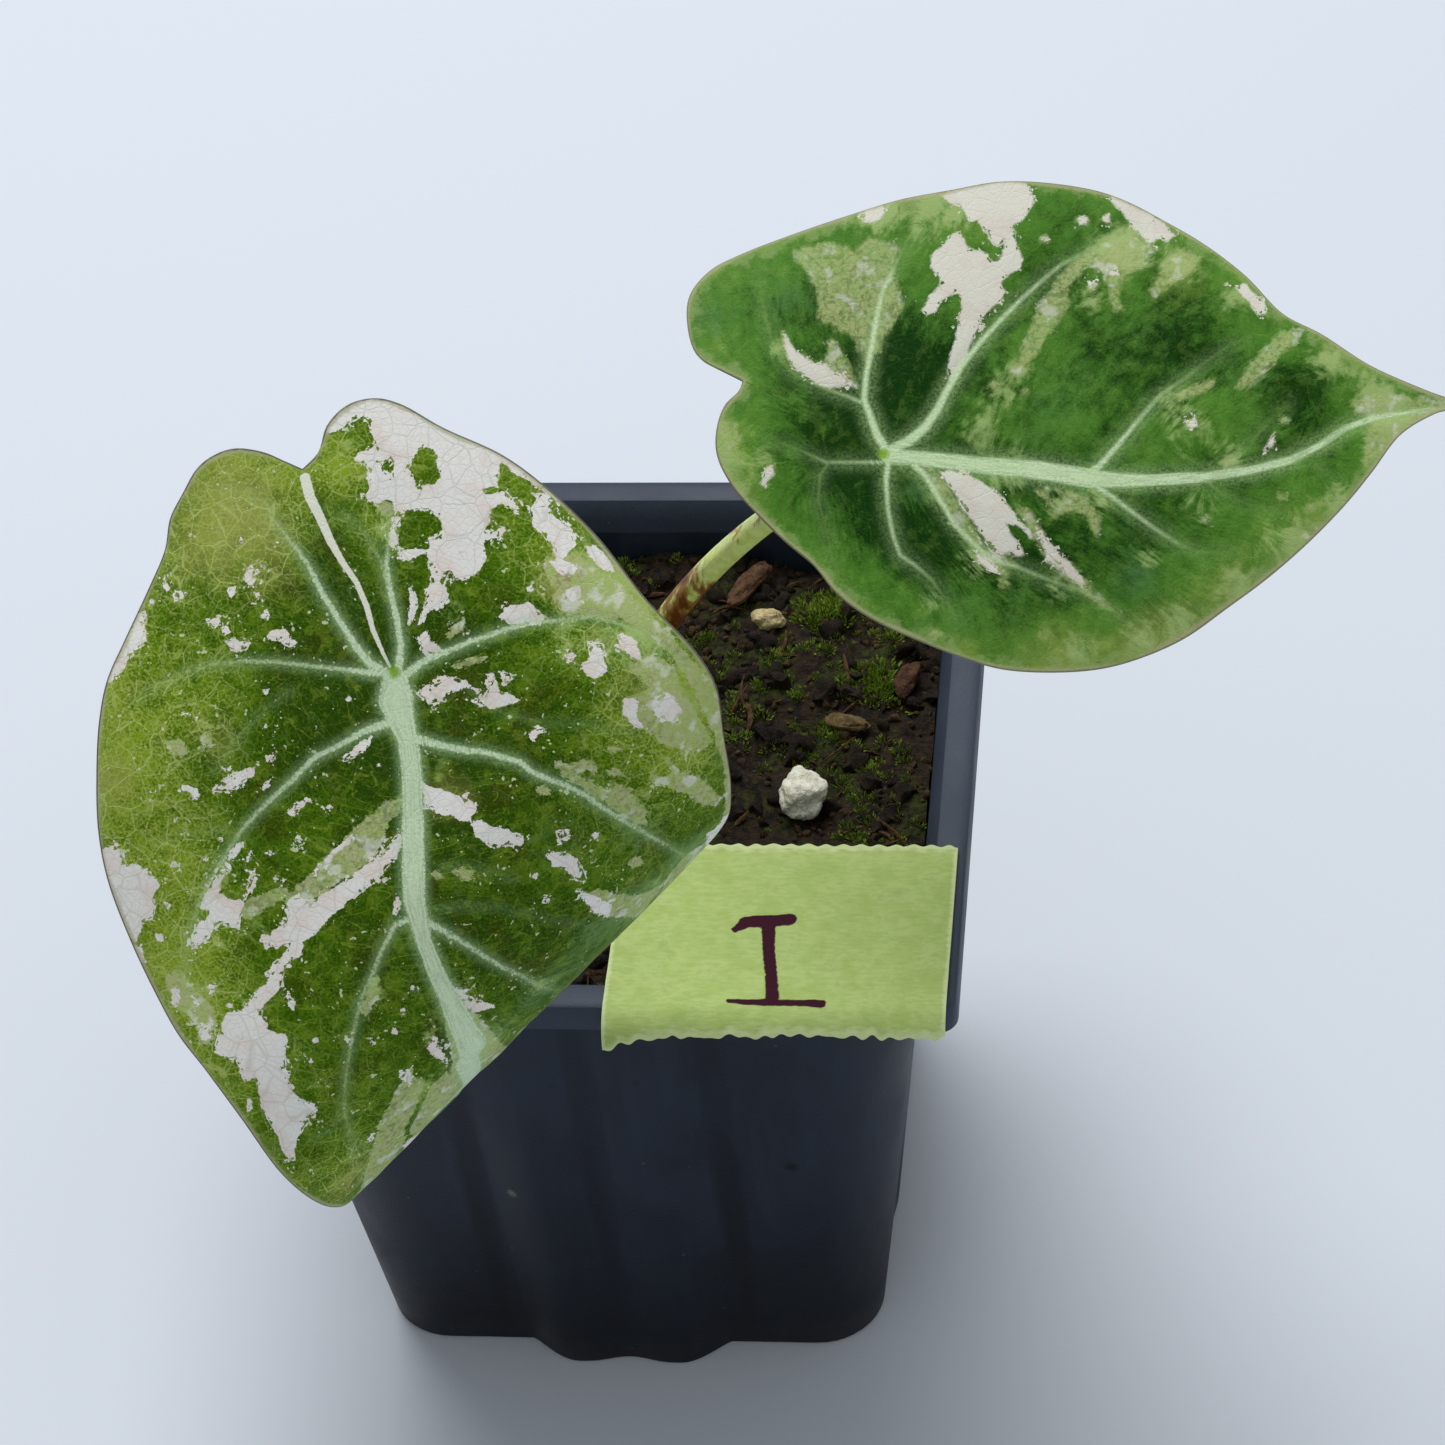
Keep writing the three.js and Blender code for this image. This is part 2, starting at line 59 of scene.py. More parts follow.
# Lamps: name, place and aim in metres, and power
LIGHT_WIDTH = 1.2
LIGHTS = [
    ("key", (-0.24, 0.72, 1.42), (0, 0, 0.08), 20.5),
    ("fill", (0.3, -0.9, 1.3), (0, 0, 0.1), 1.5),
]

POT_HEIGHT = 76.7
POT_WALL = 1.0
POT_BASE_HALF = 31.2
POT_TOP_HALF = 40.7
POT_BASE_CORNER = 8
POT_TOP_CORNER = 15
POT_RIM_HALF = 45
POT_RIM_CORNER = 2.5
POT_RIM_BAND = 3.9
POT_LIP_HALF = 41.3
CORNER_STEPS = 10
RIB_DEPTH = 3.6
RIB_SPAN = 12.6
RIB_SPAN_TOP = 15.2
RIB_POINTS = 61
SIDE_RIB_SHARE = 0.22
GROOVE_DEPTH = 0.24
DRAIN_RADIUS = 2.5
DRAIN_OFFSET = 19
# Painted shade on the pot: along the creases beside its ribs, and in the small dents on its front face; and
# a spot of dust
CREASE_ACROSS = 15.4
CREASE_REACH = 2.4
PAINTED_SHADE_DENTS = [(-3.5, -38.6, 56.9), (6.4, -38.8, 58.0), (23.2, -36.4, 39.8)]
DUST_SPOT = (-11.2, -37.4, 34.6)

# The mix's level, its broad swell, the mound round the stalks and its roughness
MIX_LEVEL, MIX_SWELL, MIX_MOUND, MIX_ROUGHNESS = 68, 1.2, 2.0, 1.1
MOUND_SPREAD = 160
STALK_FOOT = (-2, 7)
# Nothing is strewn past a line across each corner of the pot
CORNER_CUT = 66
CORM_TOP, CORM_BOTTOM, CORM_RADIUS = 66, 44, 6.2
ROOTS = 6
# Moss: centre, spread, number of tufts and their size
MOSS_BEDS = [
    (23.5, 29.6, 2.6, 30, 1.7), (31.2, 16.5, 3, 26, 1.5), (24, 6.6, 6, 24, 1.0),
    (12, 12, 10, 40, 1.0), (26, 22, 9, 34, 0.9), (30, 2, 7, 24, 0.9), (-1.7, 40, 7, 22, 1.1),
    (34, 26, 5, 16, 1.0), (10, 22, 9, 26, 1.0), (-20, 25, 12, 30, 1.0), (-25, -15, 12, 26, 1.0),
    (15, -28, 14, 26, 0.9), (33, -8, 6, 18, 1.0),
]
# Loose pieces: place, half sizes, turn, seed of their shape, slot, and darker and lighter colour
CHIPS = [
    ("pumice_stone", (24, -3.2, 69.4), (2.9, 3.4, 2.6), 15, 3, "pumice_stone",
     (222, 218, 190), (250, 248, 234)),
    ("tan_stone", (17.5, 27.2, 69.5), (2.1, 1.5, 1.3), 0, 8, "tan_stone",
     (176, 156, 108), (222, 204, 156)),
    ("bark_chip_long", (14.6, 33.9, 69.6), (4.3, 1.4, 0.9), 60, 21, "bark",
     (64, 44, 30), (112, 82, 58)),
    ("bark_chip_small", (35.3, 16.6, 69.3), (3.2, 1.5, 0.9), 75, 14, "bark",
     (56, 36, 24), (96, 66, 46)),
    ("brown_chip", (28.4, 9.2, 69.2), (2.8, 1.4, 0.8), -12, 30, "brown_chip",
     (72, 58, 34), (122, 102, 66)),
]

TAPE_LEFT, TAPE_RIGHT, TAPE_BACK = 5.1, 43.9, -19.5
TAPE_UNDERSIDE, TAPE_THICKNESS = 77, 0.35
TAPE_LENGTH, TAPE_CORNER_EXTRA, TAPE_CORNER_REACH = 29.4, 2.4, 4
TAPE_CURL_START, TAPE_CURL_RADIUS = 25.2, 4
TAPE_TOOTH, TAPE_TEETH = 0.65, 19
POINTS_PER_TOOTH, TAPE_ROWS = 12, 90
# The marker's strokes on the tape, in millimetres on the rim, as a plain numeral
NUMERAL_STROKES = [
    [(19.2, -33.4, 0.45), (20.4, -32.2, 0.9), (25.2, -31.7, 0.9)],
    [(22.9, -32, 0.8), (23.2, -36, 0.72), (23.8, -40, 0.68), (24.3, -44, 0.75)],
    [(19.4, -44.4, 0.3), (23, -44.6, 0.5), (27, -44.6, 0.48), (29.8, -44.8, 0.62)],
]

# Each stalk's foot and two handles, and its radius at shares of its height
LEFT_STALK = [(-4.6, 5.6, 66.3), (-5.5, 2, 96), (-8, -32, 125)]
RIGHT_STALK = [(0.8, 8.2, 66.3), (3, 2.3, 87.4), (18.1, -3.7, 113.6)]
STALK_HEIGHTS = [0, 0.1, 0.35, 0.75, 0.95, 1]
STALK_RADII = [2.25, 2.0, 1.6, 1.42, 1.5, 1.7]
STALK_STEPS, STALK_SIDES = 90, 28

BLADE_THICKNESS = 0.8
RIM_THICKNESS = 0.36
RIM_BULGE = 0.1
PLUMPNESS = 0.16
VEIN_GROOVE = 0.1
VEIN_RIDGE = 0.25
VEIN_SPACING = 9
WAVES_ROUND, WAVE_REACH = 4, 30
SPOKES, RINGS, UNDER_RINGS = 480, 130, 40
# Size of a photograph pixel on the leaves
PIXEL = 0.106
# Only the part of a leaf that faces the camera is searched for a pixel's place
LEAST_FACING = 12
CLOSING_ROUNDS, LONGEST_MOVE, LEAST_SLOPE = 4, 1.5, 8
DOT_TURNS, DOT_SQUASH = np.linspace(0, 5.2, 6), 0.8

LEFT_BLADE = dict(
    place=(-8.8, -58.3, 141.5), turns=(9.4, 46.3, -6.3),
    bend_direction=-45, bend_start=15.5, bend_radius=20, bend_angle=92, tail_radius=120,
    cup=0.0022, wave=0.5, wave_phase=0.6,
    right_margin=[
        (-9.5, 20.8), (-7.9, 22.5), (-7, 25.3), (-4.9, 27.4), (-2.1, 28.1), (0.5, 27.5), (4.8, 25.1),
        (10.9, 22.3), (15.3, 19.1), (20.7, 13.9), (25.6, 7.6), (30.9, 2), (33.1, -1.6), (34.6, -7.6),
        (37.2, -14.9), (39.3, -21), (39.2, -28), (37.8, -35), (35, -42), (32.2, -50), (30.4, -58),
        (29.6, -66), (30, -73), (31, -79)],
    left_margin=[
        (-9.5, 20.8), (-11.3, 21.6), (-13.7, 22.6), (-17, 22.9), (-20.1, 21.3), (-22, 18.2),
        (-23.2, 15.8), (-23.7, 12.6), (-25.4, 8.5), (-27.8, 3.3), (-29.6, -0.8), (-30.4, -4.9),
        (-30.7, -10), (-30.6, -16.2), (-29.7, -21.4), (-27.4, -27.8), (-25, -33.1), (-22.7, -37.4),
        (-19.8, -41.2), (-16.3, -46.1), (-11.7, -52.9), (-6.4, -58.4), (-0.8, -62.6), (5, -66),
        (11.5, -68.6), (18, -70.6), (24, -73.3), (28.5, -76.8), (31, -79)],
)
RIGHT_BLADE = dict(
    place=(38, -13.5, 132), turns=(4.5, 31.5, -2),
    bend_direction=8, bend_start=10, bend_radius=170, bend_angle=12, tail_radius=60,
    cup=0.0026, wave=0.5, wave_phase=2,
    right_margin=[
        (-15.4, 9.1), (-17.3, 10.1), (-20.5, 12.3), (-21.7, 16.5), (-21.4, 19.8), (-19.2, 22.6),
        (-15.9, 24.3), (-10.3, 26.3), (-3.6, 28.4), (1.9, 30), (7.5, 31), (13, 32), (18.5, 31.9),
        (24.1, 31), (27.5, 29.7), (31.1, 27.7), (35.5, 25), (40.1, 21.2), (44.2, 16.6), (48.4, 14.4),
        (53.9, 11), (59.9, 8.9), (63, 8.2), (68, 7.6)],
    left_margin=[
        (-15.4, 9.1), (-15.8, 7.9), (-17.4, 6.2), (-18.3, 3.3), (-18.2, 0.4), (-16.6, -3),
        (-13.9, -6.3), (-10.6, -9.7), (-7.7, -12.3), (-5.5, -15.2), (-3.4, -17.1), (-0.2, -19.1),
        (4.2, -21.1), (8, -22.6), (12.3, -23.9), (17.7, -24.3), (23.2, -23.9), (27.6, -22.7),
        (32.3, -20.6), (36.9, -17.4), (41.4, -14.1), (45.9, -10.2), (50.3, -5.7), (53.5, -1.8),
        (57.1, 2.9), (60.9, 5.6), (63, 6.6), (68, 7.6)],
)

# Veins as lists of photograph pixels, each with the vein's half width there
# The midrib's last four points, where it meets the bend, are widened over a pale patch that is partly the
# vein's pale halo and partly painted sheen
LEFT_VEINS = [
    [(396, 674, 5), (395, 684, 13), (396, 700, 17), (401, 720, 13), (408, 740, 10), (412, 775, 10),
     (413, 850, 11), (414, 900, 11), (424, 942, 8), (437, 975, 8), (449, 1000, 10), (462, 1026, 13),
     (474, 1050, 16)],
    [(390, 674, 4), (365, 672, 3), (340, 669, 2.2), (310, 666, 2), (280, 662, 2), (245, 661, 1.8),
     (215, 664, 1.5), (190, 670, 1.4), (172, 680, 1.2), (152, 690, 1), (138, 702, 0.8)],
    [(392, 676, 5), (370, 664, 4), (355, 645, 3.4), (340, 622, 3), (322, 593, 2.8), (308, 565, 2.4),
     (295, 547, 2), (280, 530, 1.7), (265, 502, 1.3), (240, 490, 0.8), (212, 487, 0.6)],
    [(398, 674, 4), (401, 645, 3.2), (396, 615, 3), (390, 590, 2.8), (386, 565, 2.4), (388, 545, 1.8),
     (391, 515, 1)],
    [(388, 585, 2), (380, 560, 1.5), (367, 535, 1.2), (345, 515, 0.8)],
    [(402, 718, 5), (382, 725, 4), (362, 732, 3), (340, 745, 2.6), (315, 757, 2.6), (302, 770, 2.5),
     (287, 785, 2.4), (270, 800, 2.3), (255, 815, 2.2), (240, 832, 2), (225, 855, 1.9), (212, 877, 1.8),
     (200, 900, 1.7), (192, 925, 1.5), (186, 947, 1.3), (184, 970, 1.1), (182, 995, 0.8)],
    [(402, 678, 4.5), (422, 662, 3.2), (450, 650, 2.7), (475, 640, 2.6), (505, 630, 2.5), (530, 622, 2.3),
     (565, 620, 2), (590, 617, 1.8), (615, 622, 1.7), (640, 632, 1.5), (662, 645, 1.1), (685, 665, 0.8)],
    [(412, 738, 4.5), (440, 745, 3.4), (465, 750, 3), (485, 752, 2.9), (502, 757, 2.9), (520, 762, 2.8),
     (532, 772, 2.8), (550, 780, 2.7), (565, 785, 2.6), (585, 795, 2.5), (602, 807, 2.5), (622, 820, 2.3),
     (640, 830, 2.1), (657, 840, 1.9), (675, 850, 1.6), (688, 858, 1.2)],
    [(418, 916, 5), (430, 924, 3.6), (445, 932, 2.8), (467, 945, 2.5), (485, 957, 2.4), (502, 967, 2.3),
     (520, 975, 2), (537, 985, 1.8), (562, 990, 1.2)],
    [(420, 922, 4), (407, 920, 3), (395, 925, 2.4), (382, 950, 2.1), (370, 980, 2), (360, 1002, 1.9),
     (355, 1025, 1.8), (350, 1050, 1.7), (346, 1072, 1.6), (344, 1100, 1.5), (345, 1115, 1.4),
     (352, 1150, 1.1), (361, 1190, 0.7)],
    [(537, 985, 1.4), (552, 980, 1.1), (570, 972, 0.9), (590, 962, 0.7)],
    [(420, 915, 1.4), (435, 910, 1.1), (465, 906, 1), (495, 907, 0.8), (530, 915, 0.7), (565, 922, 0.6),
     (602, 927, 0.4)],
    [(442, 868, 1), (465, 865, 0.8), (495, 872, 0.7), (515, 880, 0.5)],
    [(349, 1128, 0.9), (365, 1150, 0.7), (395, 1162, 0.5)],
    [(344, 1110, 0.9), (330, 1130, 0.7), (312, 1140, 0.5)],
    [(240, 833, 0.9), (215, 830, 0.7), (185, 834, 0.5), (160, 843, 0.4)],
    [(290, 690, 0.8), (262, 712, 0.7), (235, 742, 0.6), (215, 770, 0.4)],
    [(470, 690, 0.8), (500, 712, 0.7), (540, 722, 0.6), (590, 724, 0.5), (640, 735, 0.4)],
]
RIGHT_VEINS = [
    [(888, 456, 8), (920, 458, 8), (982, 465, 9), (1040, 470, 10), (1090, 478, 10), (1120, 480, 8.5),
     (1150, 480, 6.5), (1200, 477, 5.5), (1250, 470, 4.6), (1290, 460, 4), (1320, 445, 3.6),
     (1345, 428, 3.4), (1375, 417, 3), (1410, 412, 2.6), (1445, 408, 2)],
    [(888, 452, 5), (877, 435, 4.4), (870, 415, 3.8), (864, 400, 3.4), (866, 375, 3.2), (872, 345, 3),
     (877, 315, 2.8), (882, 292, 2.4), (892, 272, 2), (900, 255, 1.5), (907, 240, 1.1), (917, 227, 0.7)],
    [(866, 404, 2.4), (850, 397, 2), (830, 390, 1.8), (810, 382, 1.5), (792, 372, 1.4), (780, 357, 1.2),
     (772, 340, 1.2), (766, 320, 1.2), (761, 295, 1), (759, 268, 0.7)],
    [(890, 450, 6), (910, 440, 5.6), (925, 427, 5), (937, 410, 4.4), (947, 390, 4), (962, 365, 3.4),
     (980, 342, 3), (1000, 320, 2.7), (1020, 300, 2.4), (1040, 282, 2.2), (1060, 265, 2), (1095, 246, 1.5),
     (1134, 228, 1)],
    [(882, 462, 2.4), (860, 462, 2), (826, 462, 1.8), (800, 450, 1.2), (768, 438, 0.8)],
    [(830, 461, 1.5), (820, 475, 1.4), (818, 500, 1.2), (825, 525, 1), (832, 555, 0.8), (828, 575, 0.5)],
    [(888, 462, 3.4), (886, 480, 2.8), (888, 510, 2.4), (893, 535, 2.3), (900, 555, 2.2), (915, 565, 2),
     (930, 578, 1.6), (945, 598, 1.2), (957, 622, 0.8)],
    [(915, 465, 4), (925, 475, 3.2), (940, 500, 2.8), (955, 525, 2.6), (975, 545, 2.4), (990, 558, 2.2),
     (1020, 568, 2), (1050, 580, 1.8), (1085, 592, 1.5), (1115, 613, 1.2), (1145, 635, 0.8)],
    [(1085, 480, 4), (1095, 485, 3.2), (1110, 495, 2.6), (1130, 510, 2.4), (1150, 525, 2.2), (1165, 535, 2),
     (1180, 545, 1.7), (1200, 552, 1.3), (1240, 552, 0.7)],
    [(1085, 476, 4.5), (1100, 465, 3.6), (1115, 448, 3), (1130, 430, 2.6), (1145, 412, 2.3), (1160, 395, 2),
     (1185, 378, 1.7), (1205, 362, 1.4), (1225, 348, 1.1), (1245, 338, 0.7)],
    [(1200, 476, 1.8), (1220, 492, 1.2), (1250, 505, 0.8), (1280, 512, 0.5)],
    [(1215, 474, 1.6), (1240, 452, 1.2), (1265, 425, 0.9), (1290, 402, 0.6)],
    [(1300, 456, 1.4), (1320, 466, 1), (1336, 478, 0.6)],
]
# The midrib goes on past the bend, where the photograph doesn't show it, in millimetres
LEFT_HIDDEN_VEINS = [
    [(10, -43.8, 1.5), (15, -51.5, 1.2), (20, -60, 0.9), (25, -68, 0.6), (30, -77, 0.3)],
    [(19, -45, 0.4), (28, -45, 0.25), (35, -41, 0.1)],
    [(15, -51.5, 0.5), (22, -55, 0.35), (30, -57, 0.15)],
    [(13, -49, 0.5), (10, -55, 0.35), (9, -62, 0.2)],
    [(20, -60, 0.4), (20, -66, 0.25), (21, -70, 0.15)],
]
# The pale scar from the notch to the stalk, with its half widths
LEFT_SEAM = [
    (305, 478, 5), (310, 497, 5), (320, 517, 4.5), (330, 540, 4), (343, 563, 3), (357, 583, 2.6),
    (367, 607, 2.8), (373, 630, 2.4), (383, 653, 1.8), (390, 667, 1.2)
]

# Markings as outlines in photograph pixels. Cream ones have lost all their green.
LEFT_CREAM = [
    [(316, 440), (325, 431), (336, 431), (344, 427), (352, 421), (358, 419), (363, 417), (368, 423),
     (371, 432), (375, 440), (373, 447), (364, 450), (356, 453), (355, 459), (362, 464), (367, 469),
     (367, 478), (370, 487), (366, 495), (368, 502), (378, 503), (385, 500), (392, 502), (396, 512),
     (392, 522), (389, 535), (388, 546), (395, 549), (400, 549), (400, 560), (409, 561), (420, 557),
     (427, 552), (430, 572), (431, 583), (425, 590), (427, 600), (422, 610), (418, 625), (423, 625),
     (428, 612), (438, 610), (443, 607), (449, 595), (444, 583), (450, 571), (454, 580), (464, 580),
     (473, 576), (482, 567), (488, 557), (484, 546), (486, 541), (500, 537), (501, 530), (482, 537),
     (489, 520), (491, 510), (500, 502), (505, 507), (513, 511), (520, 509), (507, 492), (500, 490),
     (490, 495), (482, 490), (495, 485), (499, 477), (501, 463), (510, 470), (520, 476), (530, 482),
     (541, 490), (550, 500), (570, 505), (545, 470), (505, 440), (470, 418), (430, 398), (400, 385),
     (365, 382), (335, 390), (312, 412), (303, 438)],
    [(410, 587), (417, 595), (419, 602), (414, 617), (409, 626), (407, 622), (409, 605)],
    [(420, 635), (427, 632), (431, 640), (444, 650), (427, 657), (421, 650)],
    [(529, 510), (537, 500), (541, 491), (550, 495), (548, 505), (556, 517), (566, 522), (571, 530),
     (575, 545), (566, 557), (556, 560), (555, 549), (540, 533), (532, 525)],
    [(585, 546), (597, 545), (610, 560), (615, 572), (602, 570), (590, 557)],
    [(550, 562), (566, 560), (578, 568), (570, 577), (558, 574)],
    [(566, 590), (580, 584), (581, 598), (570, 604), (561, 600)],
    [(500, 617), (505, 607), (515, 606), (530, 602), (537, 610), (545, 617), (540, 625), (515, 627),
     (507, 624)],
    [(617, 635), (625, 632), (637, 642), (642, 660), (632, 657), (622, 650)],
    [(587, 642), (600, 639), (605, 650), (602, 660), (610, 670), (595, 680), (581, 670), (582, 662),
     (590, 657)],
    [(565, 656), (571, 651), (577, 656), (571, 662)],
    [(622, 700), (632, 697), (640, 703), (636, 716), (645, 728), (634, 727), (624, 714)],
    [(652, 702), (664, 692), (676, 697), (682, 712), (670, 722), (656, 716)],
    [(416, 694), (427, 686), (440, 682), (450, 677), (465, 679), (470, 687), (455, 692), (446, 694),
     (446, 701), (430, 704), (425, 699)],
    [(470, 700), (485, 697), (490, 685), (495, 684), (500, 692), (510, 694), (521, 699), (512, 704),
     (500, 707), (490, 709), (480, 704)],
    [(499, 672), (510, 672), (512, 680), (506, 685), (500, 677)],
    [(486, 674), (493, 673), (495, 681), (489, 681)],
    [(529, 732), (537, 729), (546, 727), (545, 732), (537, 735), (534, 742), (530, 737)],
    [(420, 780), (430, 787), (445, 790), (462, 797), (477, 802), (475, 812), (470, 821), (462, 821),
     (450, 816), (435, 812), (425, 807)],
    [(470, 822), (482, 821), (495, 827), (510, 830), (525, 837), (520, 845), (505, 845), (497, 849),
     (485, 844), (476, 837)],
    [(542, 852), (550, 852), (562, 851), (574, 855), (582, 867), (587, 882), (577, 880), (565, 870),
     (552, 865), (550, 860)],
    [(539, 900), (545, 896), (551, 901), (547, 904)],
    [(555, 832), (563, 828), (570, 838), (560, 841)],
    [(590, 833), (597, 830), (600, 835), (594, 839)],
    [(530, 875), (536, 872), (541, 876), (536, 879)],
    [(575, 890), (587, 892), (600, 898), (612, 906), (608, 917), (595, 912), (585, 902)],
    [(450, 987), (460, 989), (467, 995), (475, 1000), (482, 1000), (495, 1006), (485, 1010), (475, 1012),
     (467, 1010), (462, 1002)],
    [(704, 848), (706, 833), (714, 828), (735, 806), (742, 822), (716, 850)],
    [(425, 1047), (432, 1040), (440, 1047), (446, 1058), (450, 1070), (443, 1062), (435, 1056)],
    [(144, 612), (149, 617), (146, 625), (147, 635), (145, 642), (135, 652), (127, 662), (122, 672),
     (108, 684), (104, 672), (117, 640), (132, 615)],
    [(106, 847), (114, 844), (120, 850), (125, 860), (127, 865), (137, 864), (150, 872), (161, 885),
     (152, 897), (156, 905), (154, 917), (144, 922), (139, 935), (137, 944), (122, 930), (106, 900),
     (98, 860)],
    [(136, 946), (143, 948), (145, 962), (138, 962)],
    [(246, 842), (237, 844), (230, 852), (220, 865), (212, 880), (204, 895), (200, 905), (197, 920),
     (190, 942), (190, 950), (200, 944), (210, 935), (215, 927), (222, 922), (230, 927), (240, 930),
     (241, 922), (240, 912), (245, 902), (240, 899), (229, 900), (220, 892), (221, 880), (226, 872),
     (222, 865), (230, 860), (240, 852)],
    [(250, 877), (255, 867), (256, 875), (252, 885), (250, 892), (245, 902), (242, 900), (247, 890)],
    [(245, 860), (252, 850), (250, 862), (246, 866)],
    [(351, 837), (350, 844), (337, 852), (330, 862), (322, 870), (315, 877), (312, 870), (325, 860),
     (337, 847)],
    [(400, 830), (402, 842), (395, 860), (385, 870), (372, 885), (355, 897), (342, 907), (330, 917),
     (320, 930), (312, 937), (305, 942), (302, 955), (290, 960), (285, 970), (282, 985), (275, 995),
     (265, 1002), (262, 1012), (265, 1020), (270, 1030), (288, 1035), (285, 1058), (288, 1076), (294, 1093),
     (302, 1099), (316, 1104), (318, 1109), (315, 1114), (306, 1124), (298, 1137), (295, 1148), (294, 1160),
     (287, 1159), (281, 1147), (275, 1133), (268, 1119), (261, 1103), (258, 1090), (259, 1077), (250, 1077),
     (246, 1083), (240, 1073), (236, 1058), (228, 1058), (214, 1052), (217, 1040), (221, 1025), (228, 1013),
     (240, 1011), (250, 1000), (255, 992), (266, 983), (270, 975), (262, 976), (272, 965), (282, 955),
     (290, 947), (288, 943), (278, 947), (268, 946), (261, 940), (262, 932), (270, 935), (276, 928),
     (283, 925), (289, 915), (287, 905), (290, 898), (300, 897), (312, 902), (330, 890), (352, 877),
     (365, 865), (385, 850)],
    [(397, 895), (402, 900), (396, 915), (391, 912)],
    [(288, 990), (292, 998), (296, 1001), (293, 1010), (289, 1005)],
    [(342, 760), (360, 742), (372, 737), (371, 745), (355, 757), (345, 762)],
    [(287, 810), (297, 802), (307, 799), (305, 805), (295, 815), (289, 814)],
    [(212, 791), (215, 785), (230, 775), (245, 769), (255, 767), (256, 774), (245, 780), (235, 789),
     (225, 792)],
    [(267, 762), (275, 756), (274, 762)],
    [(260, 791), (265, 782), (272, 776), (270, 785), (262, 792)],
    [(180, 789), (182, 784), (190, 785), (199, 790), (200, 797), (194, 800), (190, 792)],
    [(267, 635), (272, 630), (285, 629), (290, 636), (297, 642), (295, 647), (287, 647), (281, 641),
     (270, 640)],
    [(226, 641), (235, 637), (240, 641), (250, 642), (247, 649), (237, 652), (230, 649)],
    [(207, 621), (212, 619), (219, 616), (221, 621), (215, 630), (212, 627)],
    [(221, 627), (228, 624), (231, 633), (225, 636)],
    [(251, 565), (256, 570), (256, 581), (250, 585), (245, 584), (242, 579), (246, 574)],
    [(230, 587), (237, 586), (235, 597), (231, 600), (227, 595)],
    [(254, 593), (259, 590), (261, 598), (256, 600)],
    [(261, 616), (266, 612), (270, 614), (266, 619)],
    [(162, 584), (171, 586), (167, 592)],
    [(175, 602), (180, 595), (186, 599)],
    [(376, 1133), (372, 1141), (366, 1140)],
    [(247, 1097), (253, 1098), (251, 1111), (247, 1108)],
    [(405, 1067), (411, 1068), (410, 1082), (405, 1080)],
    [(402, 1145), (410, 1137), (422, 1130), (415, 1140), (405, 1150)],
    [(201, 1030), (210, 1023), (212, 1036), (204, 1047)],
    [(170, 990), (179, 987), (180, 1003), (172, 1008)],
]
RIGHT_CREAM = [
    [(940, 195), (957, 186), (980, 176), (1008, 172), (1022, 180), (1032, 190), (1035, 202), (1028, 212),
     (1022, 222), (1012, 226), (1015, 232), (1017, 245), (1022, 260), (1020, 270), (1007, 275), (1002, 282),
     (1005, 292), (1000, 302), (990, 310), (980, 320), (975, 335), (967, 355), (957, 375), (950, 382),
     (947, 367), (952, 350), (957, 330), (960, 312), (962, 300), (957, 292), (942, 300), (935, 312),
     (927, 317), (922, 310), (930, 295), (940, 287), (940, 277), (930, 267), (932, 255), (945, 245),
     (950, 235), (960, 232), (967, 245), (975, 252), (985, 252), (990, 260), (997, 262), (1002, 255),
     (1005, 242), (997, 248), (988, 236), (978, 222), (970, 222), (966, 212), (960, 206), (950, 203)],
    [(858, 217), (866, 209), (878, 203), (888, 206), (882, 218), (876, 224), (866, 222)],
    [(1108, 198), (1118, 193), (1136, 206), (1150, 212), (1163, 222), (1176, 236), (1168, 242), (1158, 238),
     (1150, 245), (1142, 236), (1130, 224), (1122, 212)],
    [(783, 332), (788, 338), (795, 350), (805, 357), (816, 364), (826, 364), (829, 370), (846, 378),
     (856, 386), (845, 387), (832, 388), (820, 386), (808, 378), (795, 368), (787, 356)],
    [(940, 472), (952, 470), (968, 474), (985, 484), (1000, 495), (1015, 515), (1028, 530), (1035, 540),
     (1025, 532), (1015, 525), (1006, 523), (1012, 535), (1022, 548), (1024, 555), (1015, 556), (1012, 552),
     (1000, 556), (990, 550), (985, 540), (975, 525), (965, 510), (955, 495), (948, 485)],
    [(1036, 528), (1044, 536), (1056, 550), (1068, 562), (1080, 574), (1085, 586), (1072, 580), (1058, 566),
     (1046, 552)],
    [(1235, 288), (1244, 283), (1255, 295), (1265, 302), (1267, 315), (1258, 316), (1250, 305)],
    [(765, 470), (773, 466), (775, 475), (768, 480), (765, 488), (761, 484)],
    [(1078, 217), (1086, 216), (1087, 225), (1079, 226)],
    [(1102, 216), (1110, 215), (1110, 223), (1103, 223)],
    [(1106, 266), (1116, 265), (1118, 275), (1109, 276)],
    [(1088, 283), (1096, 284), (1094, 291)],
    [(1039, 238), (1047, 238), (1046, 245)],
    [(1263, 450), (1270, 438), (1275, 432), (1274, 443), (1268, 452)],
    [(1186, 423), (1194, 419), (1197, 426), (1190, 430)],
    [(975, 550), (984, 556), (994, 564), (1000, 574), (990, 572), (978, 562)],
]
